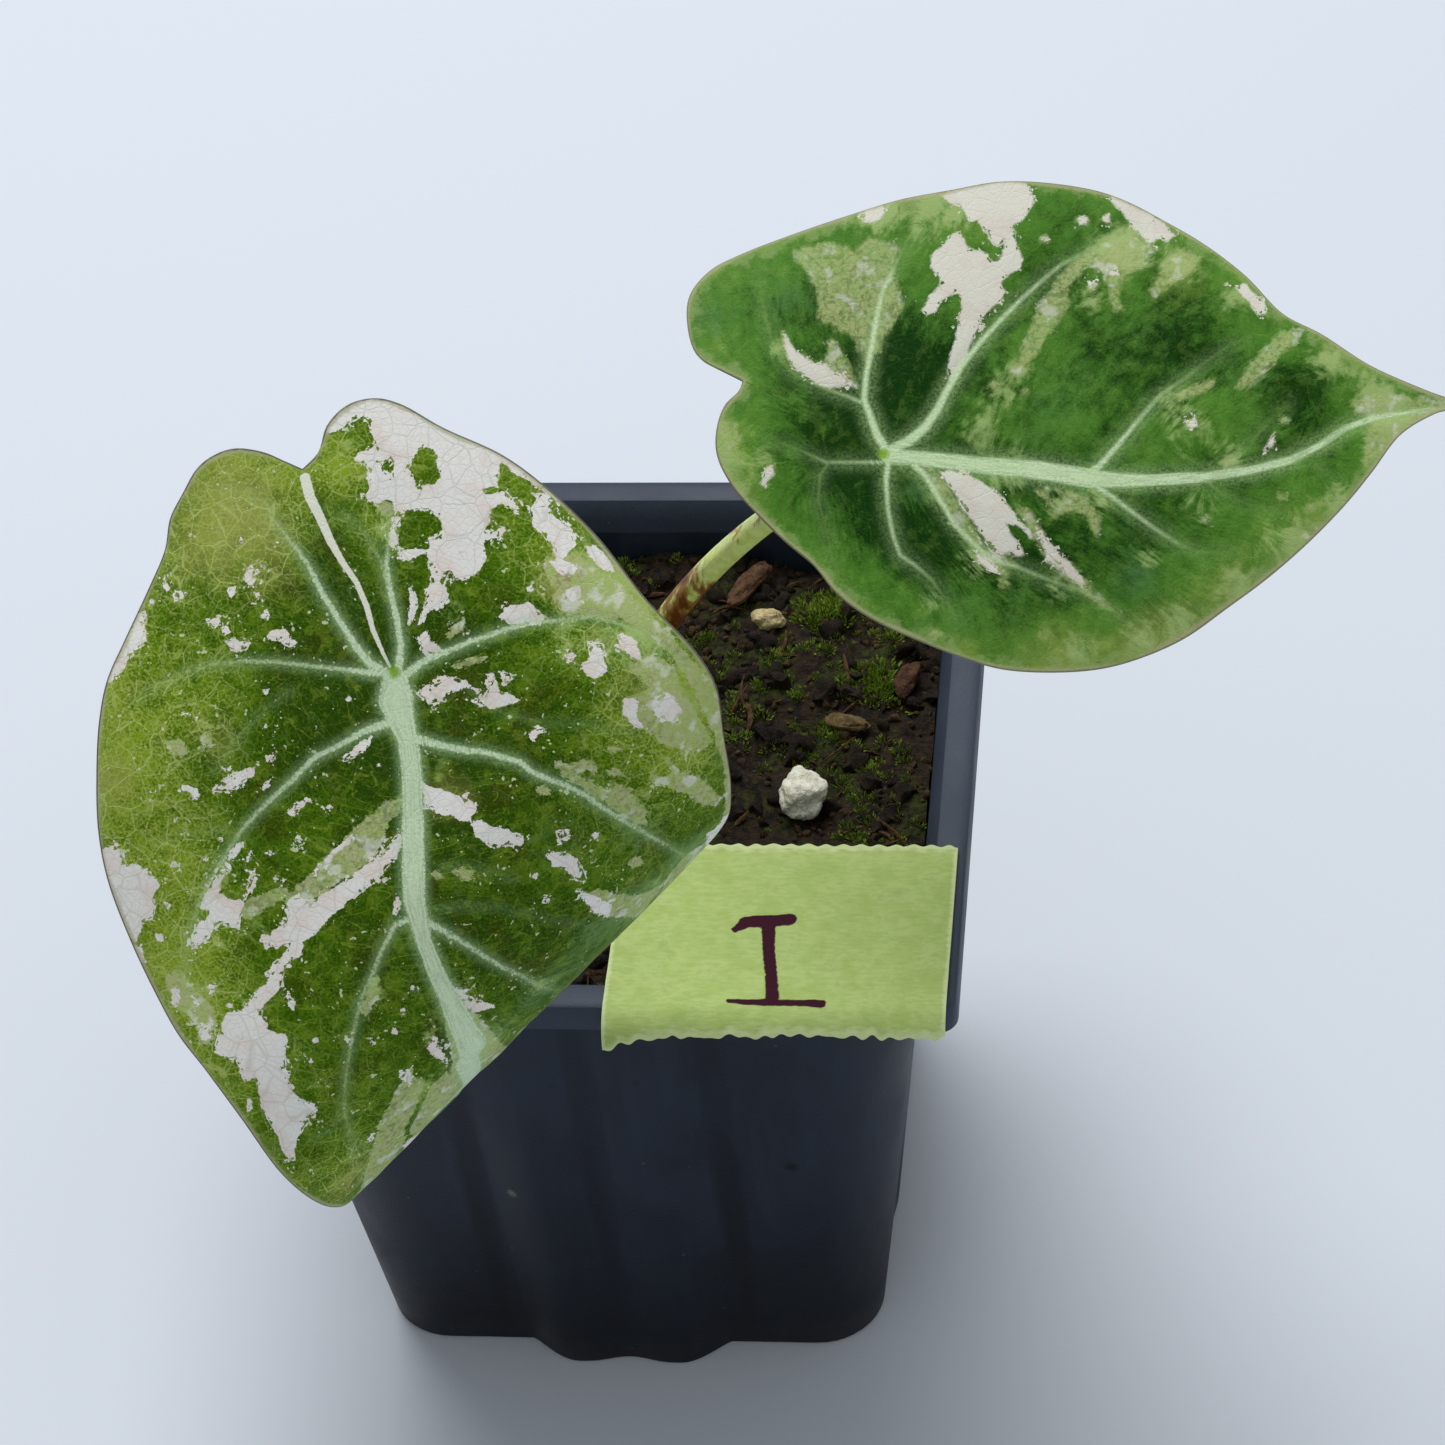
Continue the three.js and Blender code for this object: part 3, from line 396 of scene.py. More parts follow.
# Ghost ones are faded to a pale green
LEFT_GHOST = [
    [(402, 794), (401, 812), (387, 825), (380, 850), (365, 865), (350, 877), (340, 880), (330, 890),
     (320, 895), (310, 905), (297, 920), (290, 925), (285, 910), (287, 895), (302, 882), (312, 870),
     (325, 857), (340, 845), (350, 832), (365, 820), (380, 805), (390, 800)],
    [(545, 560), (575, 553), (585, 557), (602, 572), (622, 585), (640, 605), (655, 620), (677, 640),
     (672, 642), (650, 635), (630, 622), (610, 617), (575, 617), (560, 610), (552, 600), (557, 590),
     (545, 580)],
    [(630, 662), (655, 655), (675, 668), (680, 690), (692, 705), (702, 720), (712, 742), (700, 751),
     (685, 747), (672, 747), (660, 742), (647, 732), (627, 720), (622, 710), (625, 700), (640, 695),
     (650, 687), (640, 677), (630, 672)],
    [(660, 630), (682, 648), (705, 672), (722, 700), (732, 740), (738, 805), (730, 826), (722, 820),
     (724, 770), (716, 742), (704, 712), (690, 685), (672, 655), (655, 638)],
    [(555, 761), (570, 764), (582, 759), (597, 765), (597, 772), (590, 777), (595, 787), (605, 790),
     (620, 784), (632, 790), (635, 800), (645, 810), (646, 825), (635, 825), (620, 815), (605, 802),
     (585, 790), (570, 780), (562, 777), (557, 770)],
    [(662, 755), (672, 762), (680, 772), (697, 774), (705, 782), (722, 797), (715, 805), (700, 805),
     (690, 795), (677, 790), (662, 785), (647, 780), (652, 775), (667, 775), (672, 770)],
    [(575, 888), (587, 892), (597, 889), (610, 891), (630, 895), (650, 890), (665, 880), (650, 900),
     (640, 912), (622, 916), (610, 917), (595, 912), (585, 902)],
    [(668, 874), (690, 852), (704, 842), (716, 846), (700, 870), (680, 892), (662, 905), (650, 906)],
    [(409, 1065), (390, 1100), (378, 1124), (372, 1149), (364, 1175), (361, 1198), (378, 1192), (392, 1166),
     (406, 1135), (403, 1130), (409, 1119), (424, 1082)],
    [(440, 985), (452, 989), (470, 1010), (486, 1024), (500, 1043), (508, 1048), (480, 1080), (458, 1100),
     (448, 1080), (452, 1065), (446, 1030)],
    [(377, 972), (380, 990), (373, 1005), (365, 1022), (361, 1012), (366, 995), (371, 980)],
    [(451, 667), (462, 660), (472, 657), (486, 656), (485, 660), (470, 665), (457, 669)],
    [(444, 641), (448, 632), (456, 622), (463, 620), (465, 626), (457, 633), (450, 640)],
    [(165, 975), (178, 968), (192, 985), (207, 1000), (218, 1012), (212, 1046), (200, 1046), (196, 1020),
     (178, 1008), (166, 990)],
    [(165, 740), (180, 738), (190, 750), (182, 757), (170, 753)],
    [(200, 737), (212, 733), (215, 745), (204, 747)],
    [(452, 872), (464, 868), (478, 872), (470, 881), (458, 879)],
    [(430, 873), (437, 870), (443, 877), (436, 881)],
    [(606, 770), (620, 769), (623, 775), (610, 777)],
    [(604, 746), (616, 743), (622, 750), (608, 753)],
    [(534, 788), (546, 785), (551, 794), (540, 797)],
    [(626, 859), (640, 855), (642, 864), (630, 867)],
    [(240, 905), (255, 895), (275, 890), (290, 885), (288, 895), (275, 903), (262, 912), (250, 920),
     (242, 918)],
    [(430, 1085), (448, 1070), (460, 1092), (436, 1118), (415, 1140), (408, 1130), (420, 1105)],
    [(371, 500), (382, 497), (392, 503), (396, 512), (388, 520), (377, 512)],
]
RIGHT_GHOST = [
    [(795, 250), (830, 243), (855, 250), (870, 238), (899, 247), (897, 260), (894, 272), (899, 290),
     (903, 308), (896, 322), (884, 337), (880, 350), (868, 360), (863, 358), (855, 340), (847, 332),
     (836, 333), (832, 322), (820, 325), (818, 310), (819, 295), (813, 280), (805, 272), (797, 262)],
    [(782, 332), (788, 338), (795, 350), (805, 355), (816, 362), (826, 362), (827, 345), (832, 340),
     (842, 352), (848, 362), (853, 375), (857, 388), (845, 385), (838, 388), (820, 386), (808, 378),
     (795, 368), (787, 356), (782, 345)],
    [(1010, 372), (1020, 352), (1028, 335), (1035, 315), (1042, 300), (1060, 290), (1070, 300), (1060, 320),
     (1048, 335), (1040, 350), (1028, 362), (1018, 378)],
    [(1070, 262), (1085, 252), (1100, 245), (1115, 230), (1130, 226), (1150, 235), (1155, 250), (1145, 262),
     (1140, 272), (1125, 275), (1120, 285), (1118, 300), (1125, 310), (1115, 312), (1110, 300), (1108, 285),
     (1098, 268), (1085, 268), (1075, 280), (1065, 292), (1055, 300), (1040, 305)],
    [(1150, 290), (1158, 278), (1168, 262), (1175, 252), (1190, 252), (1200, 258), (1192, 272), (1175, 280),
     (1165, 290), (1155, 300)],
    [(1235, 390), (1245, 370), (1262, 350), (1280, 332), (1300, 330), (1295, 345), (1278, 358), (1262, 378),
     (1248, 388)],
    [(1032, 490), (1050, 488), (1074, 492), (1088, 498), (1092, 510), (1101, 520), (1097, 538), (1090, 530),
     (1088, 518), (1078, 513), (1062, 512), (1048, 505)],
    [(1015, 505), (1030, 512), (1040, 525), (1050, 545), (1065, 558), (1078, 570), (1095, 592), (1120, 612),
     (1105, 608), (1090, 600), (1075, 586), (1060, 575), (1050, 562), (1040, 548), (1030, 535)],
    [(925, 466), (940, 472), (950, 488), (962, 508), (975, 530), (986, 550), (1005, 558), (1020, 566),
     (1000, 568), (985, 560), (968, 542), (952, 520), (938, 495)],
    [(1000, 566), (1010, 572), (1008, 588), (1000, 588)],
    [(1175, 395), (1196, 384), (1215, 380), (1212, 388), (1195, 396), (1180, 400)],
    [(1218, 465), (1228, 456), (1240, 453), (1238, 462), (1226, 468)],
    [(720, 432), (735, 425), (742, 440), (735, 450), (724, 447)],
    [(1350, 400), (1380, 393), (1410, 398), (1450, 398), (1450, 418), (1420, 422), (1395, 442), (1375, 457),
     (1364, 466), (1362, 450), (1366, 432), (1372, 420), (1354, 411)],
]
# Green ones stay green inside the others
LEFT_GREEN = [
    [(425, 447), (437, 454), (437, 464), (440, 475), (436, 484), (425, 485), (414, 487), (416, 480),
     (409, 470), (412, 460), (420, 450)],
    [(405, 510), (415, 510), (430, 510), (441, 522), (440, 535), (430, 540), (429, 549), (400, 549),
     (395, 530), (401, 520)],
    [(382, 461), (391, 459), (394, 468), (389, 475), (383, 471)],
    [(198, 910), (204, 908), (210, 911), (206, 920), (199, 922)],
    [(302, 948), (308, 940), (317, 938), (313, 945), (306, 952)],
    [(266, 1019), (274, 1017), (280, 1022), (276, 1029), (268, 1029)],
    [(550, 512), (560, 512), (578, 522), (572, 526), (560, 522)],
    [(575, 775), (590, 770), (596, 776), (586, 780)],
    [(410, 1057), (424, 1056), (425, 1076), (414, 1080)],
]
RIGHT_GREEN = [
    [(1045, 491), (1056, 490), (1066, 497), (1062, 503), (1050, 500)],
    [(1164, 262), (1152, 262), (1142, 275), (1148, 282), (1160, 272)],
]
# Small round markings: photograph pixel and radius
LEFT_DOTS = [
    (349, 699, 3), (265, 727, 2), (275, 726, 2), (182, 712, 2), (190, 716, 2), (197, 718, 2), (265, 693, 2),
    (241, 539, 3), (276, 543, 2), (330, 807, 3), (379, 766, 2), (355, 816, 2), (151, 792, 2), (224, 770, 2),
    (182, 834, 2), (175, 865, 4), (176, 819, 2), (207, 857, 2), (187, 892, 2), (167, 905, 4), (160, 937, 5),
    (230, 1005, 4), (212, 987, 5), (300, 841, 3), (270, 853, 3), (280, 881, 2), (316, 1040, 4),
    (311, 1060, 3), (352, 1040, 3), (446, 1046, 3), (412, 988, 3), (404, 1010, 3), (375, 1042, 3),
    (394, 1030, 4), (531, 590, 4), (470, 640, 3), (166, 578, 4), (178, 594, 5), (146, 585, 3),
    (152, 602, 4), (220, 840, 3), (196, 1003, 4)
]
RIGHT_DOTS = [
    (1082, 221, 6), (1106, 219, 5), (1112, 270, 7), (1092, 287, 5), (1043, 241, 5), (1190, 425, 6),
    (1284, 420, 5), (1204, 520, 3), (1282, 497, 5), (1310, 508, 5), (1296, 520, 4), (1318, 525, 4),
    (1305, 535, 4), (732, 445, 4), (935, 635, 6), (1046, 635, 5), (995, 385, 5), (1025, 392, 4),
    (1172, 268, 5), (770, 470, 6), (766, 485, 4)
]

# Patches of another tint: photograph pixel, reach in pixels and weight. In the tones, the green is
# lighter and yellower above 0, and darker below.
LEFT_TONES = [
    (235, 505, 75, 0.45), (300, 500, 40, 0.1), (140, 700, 75, 0.5), (130, 790, 60, 0.55),
    (190, 860, 55, 0.5), (180, 960, 60, 0.65), (215, 1030, 35, 0.3), (345, 1165, 40, 0.3),
    (330, 620, 55, -0.35), (320, 705, 70, -0.45), (240, 690, 40, 0.25), (350, 780, 50, -0.2),
    (440, 620, 45, -0.35), (470, 720, 80, -0.42), (470, 840, 60, -0.4), (560, 700, 50, -0.1),
    (600, 650, 50, 0.3), (695, 688, 30, 1.2), (690, 720, 40, 0.5), (235, 480, 40, 0.3), (640, 770, 45, 0.3),
    (620, 850, 45, 0.1), (570, 940, 60, -0.35), (500, 930, 50, -0.25), (340, 930, 60, -0.25),
    (310, 1040, 50, 0.05), (400, 1040, 40, -0.1), (520, 530, 40, 0.15), (340, 460, 40, 0.3),
    # The dark spots left of the seam, from (318, 500) to (358, 625), are painted shade in the fold from the
    # notch, and the light ones right of it, at (375, 530) and (385, 590), painted light on the fold's other
    # side
    (220, 780, 50, -0.05), (270, 850, 40, -0.1), (318, 500, 13, -0.7), (332, 545, 14, -0.7),
    (345, 585, 14, -0.7), (358, 625, 13, -0.6), (375, 530, 22, 0.5), (385, 590, 16, 0.3),
    (345, 470, 22, 0.4), (515, 580, 40, 0.1), (560, 640, 30, 0.3), (640, 600, 40, 0.5), (670, 760, 30, 0.5),
    (610, 730, 30, 0.3), (180, 980, 40, 0.3), (240, 1100, 40, 0.3)
]
RIGHT_TONES = [
    (730, 460, 45, 0.55), (790, 560, 40, 0.2), (850, 590, 40, 0.2), (1050, 660, 40, 0.4),
    (1010, 610, 50, -0.3), (1120, 645, 35, 0.35), (1220, 590, 50, 0.35), (1300, 530, 50, 0.35),
    (1380, 430, 50, 0.5), (930, 230, 40, 0.25), (1200, 290, 60, -0.1), (730, 280, 40, 0.05),
    (830, 420, 60, -0.6), (820, 300, 40, -0.35), (905, 365, 45, -0.8), (1185, 330, 40, -0.4),
    (1290, 385, 45, -0.35), (860, 500, 50, -0.5), (920, 545, 50, -0.5), (1130, 380, 70, -0.35),
    (1310, 400, 40, -0.25), (1000, 420, 60, -0.1), (1060, 540, 50, -0.4), (1130, 540, 60, -0.3),
    (1260, 420, 60, -0.15), (1180, 510, 50, -0.05), (1330, 470, 30, -0.2), (700, 320, 40, -0.05),
    (860, 440, 25, 0.1), (1060, 290, 40, -0.2), (1150, 440, 50, 0.3), (1060, 430, 35, 0.2),
    (1120, 530, 40, 0.25), (1230, 420, 40, 0.25)
]
LEFT_WARM = [
    (235, 500, 55, 0.9), (190, 560, 40, 0.5), (270, 560, 45, 0.45), (110, 780, 35, 0.7),
    (120, 700, 25, 0.4), (565, 578, 26, 1.2), (215, 740, 30, 0.5), (600, 640, 20, 0.5), (450, 800, 30, 0.6),
    (200, 1000, 40, 0.3), (350, 1180, 35, 0.7), (640, 690, 30, 0.6), (690, 740, 30, 0.4),
    (120, 640, 20, 0.5)
]
RIGHT_WARM = [
    (730, 500, 30, 0.9), (760, 560, 35, 0.7), (725, 427, 9, 1.2), (800, 600, 30, 0.5), (1240, 590, 40, 0.6),
    (1180, 630, 40, 0.6), (1060, 662, 45, 0.8), (1140, 652, 35, 0.8), (960, 655, 30, 0.6),
    (1320, 530, 30, 0.6), (1380, 420, 30, 0.5), (720, 280, 40, 0.3), (1180, 280, 40, 0.5),
    (960, 210, 40, 0.4), (880, 210, 30, 0.3), (1340, 350, 30, 0.6)
]
# Spots of painted sheen, a pale mint cast where the leaves catch the light: along the large leaf's bend,
# and on the small one near its midrib and middle
LEFT_PAINTED_SHEEN = [
    (640, 900, 38, 0.9), (690, 850, 30, 0.8), (590, 940, 40, 0.5), (540, 990, 30, 0.6),
    (480, 1050, 40, 0.9), (440, 1100, 35, 0.8), (390, 1160, 30, 0.7), (350, 600, 40, 0.25),
    (560, 840, 40, 0.3), (640, 830, 30, 0.5), (610, 640, 25, 0.5), (650, 650, 25, 0.7), (330, 520, 35, 0.3)
]
RIGHT_PAINTED_SHEEN = [
    (1040, 430, 50, 0.25), (1060, 380, 40, 0.2), (915, 490, 20, 0.5), (960, 610, 50, 0.25),
    (1030, 610, 40, 0.2), (1140, 580, 30, 0.6), (790, 300, 30, 0.5), (1120, 520, 40, 0.2),
    (1150, 330, 30, 0.2), (1250, 380, 40, 0.3), (1080, 230, 30, 0.3), (710, 320, 30, 0.5)
]
LEFT_PALE = [
    (600, 590, 26, 0.9), (640, 622, 26, 0.9), (622, 572, 22, 0.8), (575, 545, 16, 0.5), (560, 620, 18, 0.4),
    (655, 675, 22, 0.5), (685, 705, 26, 0.7), (690, 745, 18, 0.4), (600, 790, 20, 0.4),
    (480, 1050, 30, 0.9), (435, 1115, 22, 0.8), (400, 1165, 20, 0.6), (420, 1090, 20, 0.7),
    (700, 640, 15, 0.6), (650, 890, 20, 0.6), (600, 905, 16, 0.5), (540, 985, 18, 0.5), (455, 990, 16, 0.7),
    (430, 1030, 14, 0.5), (385, 525, 16, 0.6), (350, 445, 12, 0.5), (220, 870, 20, 0.3),
    (260, 930, 20, 0.3), (190, 1000, 24, 0.5), (250, 1010, 16, 0.4), (375, 990, 12, 0.7),
    (450, 610, 16, 0.4), (565, 650, 16, 0.4), (700, 790, 16, 0.4), (640, 800, 16, 0.4), (440, 770, 12, 0.5),
    (350, 860, 25, 0.5)
]
RIGHT_PALE = [
    (720, 460, 18, 0.9), (735, 500, 18, 0.9), (716, 425, 12, 0.7), (770, 545, 18, 0.6), (810, 590, 16, 0.5),
    (880, 215, 22, 0.8), (930, 205, 22, 0.7), (960, 215, 15, 0.6), (920, 235, 15, 0.4),
    (1120, 250, 28, 0.8), (1180, 265, 22, 0.7), (1090, 300, 16, 0.5), (1235, 300, 16, 0.6),
    (1330, 360, 24, 0.6), (1380, 400, 26, 0.9), (1400, 425, 18, 0.8), (1340, 500, 20, 0.5),
    (1290, 545, 24, 0.6), (1240, 590, 24, 0.5), (1180, 625, 22, 0.6), (1140, 640, 20, 0.5),
    (1080, 650, 20, 0.5), (1190, 430, 26, 0.45), (1170, 400, 20, 0.35), (1230, 460, 18, 0.4),
    (1000, 390, 20, 0.45), (980, 430, 20, 0.45), (1020, 370, 16, 0.4), (1100, 500, 14, 0.5),
    (1060, 505, 14, 0.5), (980, 560, 20, 0.5), (1060, 590, 16, 0.4), (930, 600, 16, 0.3),
    (780, 350, 14, 0.4), (840, 220, 16, 0.4), (1010, 470, 26, 0.4), (1200, 510, 20, 0.3),
    (1150, 560, 14, 0.4), (940, 490, 14, 0.5), (760, 460, 16, 0.4)
]

LEFT_MARKS = dict(
    clear_dots=True, veins=LEFT_VEINS, hidden_veins=LEFT_HIDDEN_VEINS, seam=LEFT_SEAM,
    cream=LEFT_CREAM, ghost=LEFT_GHOST, green=LEFT_GREEN, dots=LEFT_DOTS,
    tones=LEFT_TONES, warm=LEFT_WARM, mint=LEFT_PAINTED_SHEEN, pale=LEFT_PALE)
RIGHT_MARKS = dict(
    clear_dots=False, veins=RIGHT_VEINS, hidden_veins=[], seam=[],
    cream=RIGHT_CREAM, ghost=RIGHT_GHOST, green=RIGHT_GREEN, dots=RIGHT_DOTS,
    tones=RIGHT_TONES, warm=RIGHT_WARM, mint=RIGHT_PAINTED_SHEEN, pale=RIGHT_PALE)

# Colours as they are seen, from 0 to 255
WRINKLE_GREY = (170, 174, 158)
SCAR_WHITE = (248, 250, 230)
FRECKLE_BROWN = (150, 128, 100)
PIT_GREEN = (128, 178, 20)
OUTLINE_GREY = (84, 78, 76)
# The pale green of the painted sheen where a leaf turns away
PAINTED_RIM_SHEEN_GREEN = (178, 206, 150)
# A leaf's colours, and how strongly each of its features shows; the mint tint and the sheen strength are
# painted sheen
LARGE_TINTS = SimpleNamespace(
    dark=(48, 79, 9), middle=(80, 118, 4), light=(150, 176, 52),
    brown=(70, 72, 14), olive=(174, 176, 94), mint=(140, 182, 116),
    pale=(182, 208, 118), net=(190, 208, 118), vein=(228, 250, 210),
    glow_tint=(176, 214, 150), ghost=(202, 206, 152), cream=(255, 253, 246),
    rosy=(252, 240, 230), margin=(186, 188, 146),
    net_share=1.1, feather=1.0, ghost_share=0.9, grain=2.1, marbling=0.2, pale_share=1.0,
    flecks=0.9, border=0.12, outline=0.85, wrinkles=0.3, glow=1.3, glow_share=0.7, painted_rim_sheen=0.25,
    rough=0.6, gloss=0.05)
SMALL_TINTS = SimpleNamespace(
    dark=(20, 58, 10), middle=(80, 130, 46), light=(148, 182, 88),
    brown=(26, 58, 2), olive=(136, 150, 72), mint=(82, 126, 84),
    pale=(164, 188, 118), net=(140, 176, 84), vein=(214, 238, 190),
    glow_tint=(170, 206, 136), ghost=(176, 188, 124), cream=(226, 224, 210),
    rosy=(224, 216, 202), margin=(176, 176, 132),
    net_share=0.2, feather=0.5, ghost_share=0.85, grain=0.5, marbling=0.08, pale_share=1.4,
    flecks=0.0, border=0.45, outline=0.5, wrinkles=0.04, glow=2.0, glow_share=0.5, painted_rim_sheen=0.1,
    rough=0.45, gloss=0.06)


# Placing

def turn_matrix(turns):
    first, tilt, last = (math.radians(turn) for turn in turns)
    return (Matrix.Rotation(first, 3, "Z") @ Matrix.Rotation(tilt, 3, "X")
            @ Matrix.Rotation(last, 3, "Z"))


def in_photo(points):
    """Photograph pixels of points in millimetres"""
    axes = np.array(turn_matrix(CAMERA_TURNS))
    seen = (points - np.array(CAMERA_PLACE)) @ axes
    return PHOTO_SIZE / 2 + FOCAL_PIXELS * seen[:, :2] / -seen[:, 2:] * (1, -1)


def blade_surface(blade, x, y):
    """Where a blade's flat pattern lies once it is bent, cupped, waved and put in place"""
    angle = math.radians(blade["bend_direction"])
    cos, sin = math.cos(angle), math.sin(angle)
    along = x * cos + y * sin
    side = y * cos - x * sin
    past = np.maximum(along - blade["bend_start"], 0)
    tight = np.minimum(past / blade["bend_radius"], math.radians(blade["bend_angle"]))
    tail = tight + (past - tight * blade["bend_radius"]) / blade["tail_radius"]
    reach = (np.minimum(along, blade["bend_start"]) + blade["bend_radius"] * np.sin(tight)
             + blade["tail_radius"] * (np.sin(tail) - np.sin(tight)))
    drop = (blade["bend_radius"] * (1 - np.cos(tight))
            + blade["tail_radius"] * (np.cos(tight) - np.cos(tail)))
    cup = blade["cup"] * (side ** 2 + np.minimum(along, 0) ** 2)
    swing = np.sin(WAVES_ROUND * np.arctan2(y, x) + blade["wave_phase"])
    wave = blade["wave"] * (x * x + y * y) / WAVE_REACH ** 2 * swing
    local = np.stack([reach * cos - side * sin, reach * sin + side * cos, wave - drop - cup], -1)
    return local @ np.array(turn_matrix(blade["turns"])).T + np.array(blade["place"])


def blade_normals(blade, x, y):
    across = blade_surface(blade, x + SMALL_STEP, y) - blade_surface(blade, x - SMALL_STEP, y)
    up = blade_surface(blade, x, y + SMALL_STEP) - blade_surface(blade, x, y - SMALL_STEP)
    normal = np.cross(across, up)
    return normal / np.linalg.norm(normal, axis=1, keepdims=True)


def blend_knots(a, b, start, end, t):
    return a + (b - a) * (t - start) / (end - start)


def even_curve(points, count):
    """Points at even steps along a centripetal curve through the given ones"""
    points = np.array(points, float)
    padded = np.vstack([2 * points[0] - points[1], points, 2 * points[-1] - points[-2]])
    fine = []
    for p0, p1, p2, p3 in zip(padded, padded[1:], padded[2:], padded[3:]):
        gaps = [max(np.linalg.norm(b - a), 1e-6) for a, b in ((p0, p1), (p1, p2), (p2, p3))]
        knots = np.cumsum([0] + [gap ** 0.5 for gap in gaps])
        for t in np.linspace(knots[1], knots[2], CURVE_STEPS, endpoint=False):
            a1 = blend_knots(p0, p1, knots[0], knots[1], t)
            a2 = blend_knots(p1, p2, knots[1], knots[2], t)
            a3 = blend_knots(p2, p3, knots[2], knots[3], t)
            b1 = blend_knots(a1, a2, knots[0], knots[2], t)
            b2 = blend_knots(a2, a3, knots[1], knots[3], t)
            fine.append(blend_knots(b1, b2, knots[1], knots[2], t))
    fine.append(points[-1])
    fine = np.array(fine)
    length = np.concatenate([[0], np.cumsum(np.linalg.norm(np.diff(fine, axis=0), axis=1))])
    steps = np.linspace(0, length[-1], count)
    return np.stack([np.interp(steps, length, axis) for axis in fine.T], -1)


# Making meshes

def deselect_all():
    bpy.ops.object.select_all(action="DESELECT")


def keep_piece(piece, name, replaced=()):
    """Names a finished piece and says where it belongs"""
    piece.name = name
    piece.data.name = name
    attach(piece, "root")
    if replaced:
        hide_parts(*replaced)
    return piece


def formed_grid(name, points):
    """A grid of rows by columns, moved to the given points in millimetres"""
    rows, columns = points.shape[:2]
    deselect_all()
    bpy.ops.mesh.primitive_grid_add(x_subdivisions=columns - 1, y_subdivisions=rows - 1, size=1)
    piece = bpy.context.object
    piece.name = name
    piece.data.vertices.foreach_set("co", (points * MM).reshape(-1))
    return piece


def on_whole_mesh(piece, operator, **settings):
    """Runs an operator on all of a piece in edit mode"""
    bpy.context.view_layer.objects.active = piece
    bpy.ops.object.mode_set(mode="EDIT")
    bpy.ops.mesh.select_all(action="SELECT")
    operator(**settings)
    bpy.ops.object.mode_set(mode="OBJECT")


def merge_seams(piece):
    on_whole_mesh(piece, bpy.ops.mesh.remove_doubles, threshold=SEAM_GAP)


def face_outwards(piece):
    on_whole_mesh(piece, bpy.ops.mesh.normals_make_consistent, inside=False)


def close_up(piece):
    """Puts faces over a piece's open ends and turns them all outwards"""
    bpy.ops.object.mode_set(mode="EDIT")
    bpy.ops.mesh.select_mode(type="EDGE")
    bpy.ops.mesh.select_all(action="DESELECT")
    bpy.ops.mesh.select_non_manifold(extend=False)
    bpy.ops.mesh.edge_face_add()
    bpy.ops.object.mode_set(mode="OBJECT")
    face_outwards(piece)


def ringed_body(name, rings, finish):
    """A closed body made of rings of points"""
    body = formed_grid(name, np.array(rings))
    merge_seams(body)
    close_up(body)
    body.data.materials.append(finish)
    return body


def shade_smooth(piece, angle):
    deselect_all()
    piece.select_set(True)
    bpy.context.view_layer.objects.active = piece
    bpy.ops.object.shade_smooth_by_angle(angle=math.radians(angle))


def apply_modifier(piece, kind, **settings):
    modifier = piece.modifiers.new(kind.title(), kind)
    for setting, value in settings.items():
        setattr(modifier, setting, value)
    bpy.context.view_layer.objects.active = piece
    bpy.ops.object.modifier_apply(modifier=modifier.name)


def set_attributes(piece, **attributes):
    """Stores numbers or vectors for each vertex"""
    for name, values in attributes.items():
        kind, field = ("FLOAT", "value") if values.ndim == 1 else ("FLOAT_VECTOR", "vector")
        attribute = piece.data.attributes.new(name, kind, "POINT")
        attribute.data.foreach_set(field, values.astype(np.float32).reshape(-1))


# Distances

def segment_gap(points, ax, ay, bx, by):
    """Distance from each point to a straight line, and how far along it the nearest place is"""
    run_x, run_y = bx - ax, by - ay
    length = max(run_x ** 2 + run_y ** 2, 1e-9)
    share = np.clip(((points[:, 0] - ax) * run_x + (points[:, 1] - ay) * run_y) / length, 0, 1)
    return np.hypot(points[:, 0] - ax - share * run_x, points[:, 1] - ay - share * run_y), share


def line_distance(points, line):
    """Distance from each point to a line of points, each with a half width, less that width,
    and the half width at the nearest place"""
    best = np.full(len(points), FAR)
    width = np.zeros(len(points))
    for (ax, ay, aw), (bx, by, bw) in zip(line, line[1:]):
        gap, share = segment_gap(points, ax, ay, bx, by)
        here = aw + (bw - aw) * share
        nearer = gap - here < best
        best = np.where(nearer, gap - here, best)
        width = np.where(nearer, here, width)
    return best, width


def inside_distance(points, outline, reach=4):
    """How far each point lies inside a closed outline. It is below zero outside, and beyond the
    reach it isn't worked out."""
    outline = np.array(outline)
    low, high = outline.min(axis=0) - reach, outline.max(axis=0) + reach
    close = np.all((points > low) & (points < high), axis=1)
    near = points[close]
    best = np.full(len(near), FAR)
    inside = np.zeros(len(near), bool)
    for (ax, ay), (bx, by) in zip(outline, np.roll(outline, -1, axis=0)):
        best = np.minimum(best, segment_gap(near, ax, ay, bx, by)[0])
        crosses = (ay > near[:, 1]) != (by > near[:, 1])
        if abs(by - ay) > 1e-9:
            inside ^= crosses & (near[:, 0] < ax + (bx - ax) * (near[:, 1] - ay) / (by - ay))
    depth = np.full(len(points), -float(reach))
    depth[close] = np.clip(np.where(inside, best, -best), -reach, reach)
    return depth


# Finishes

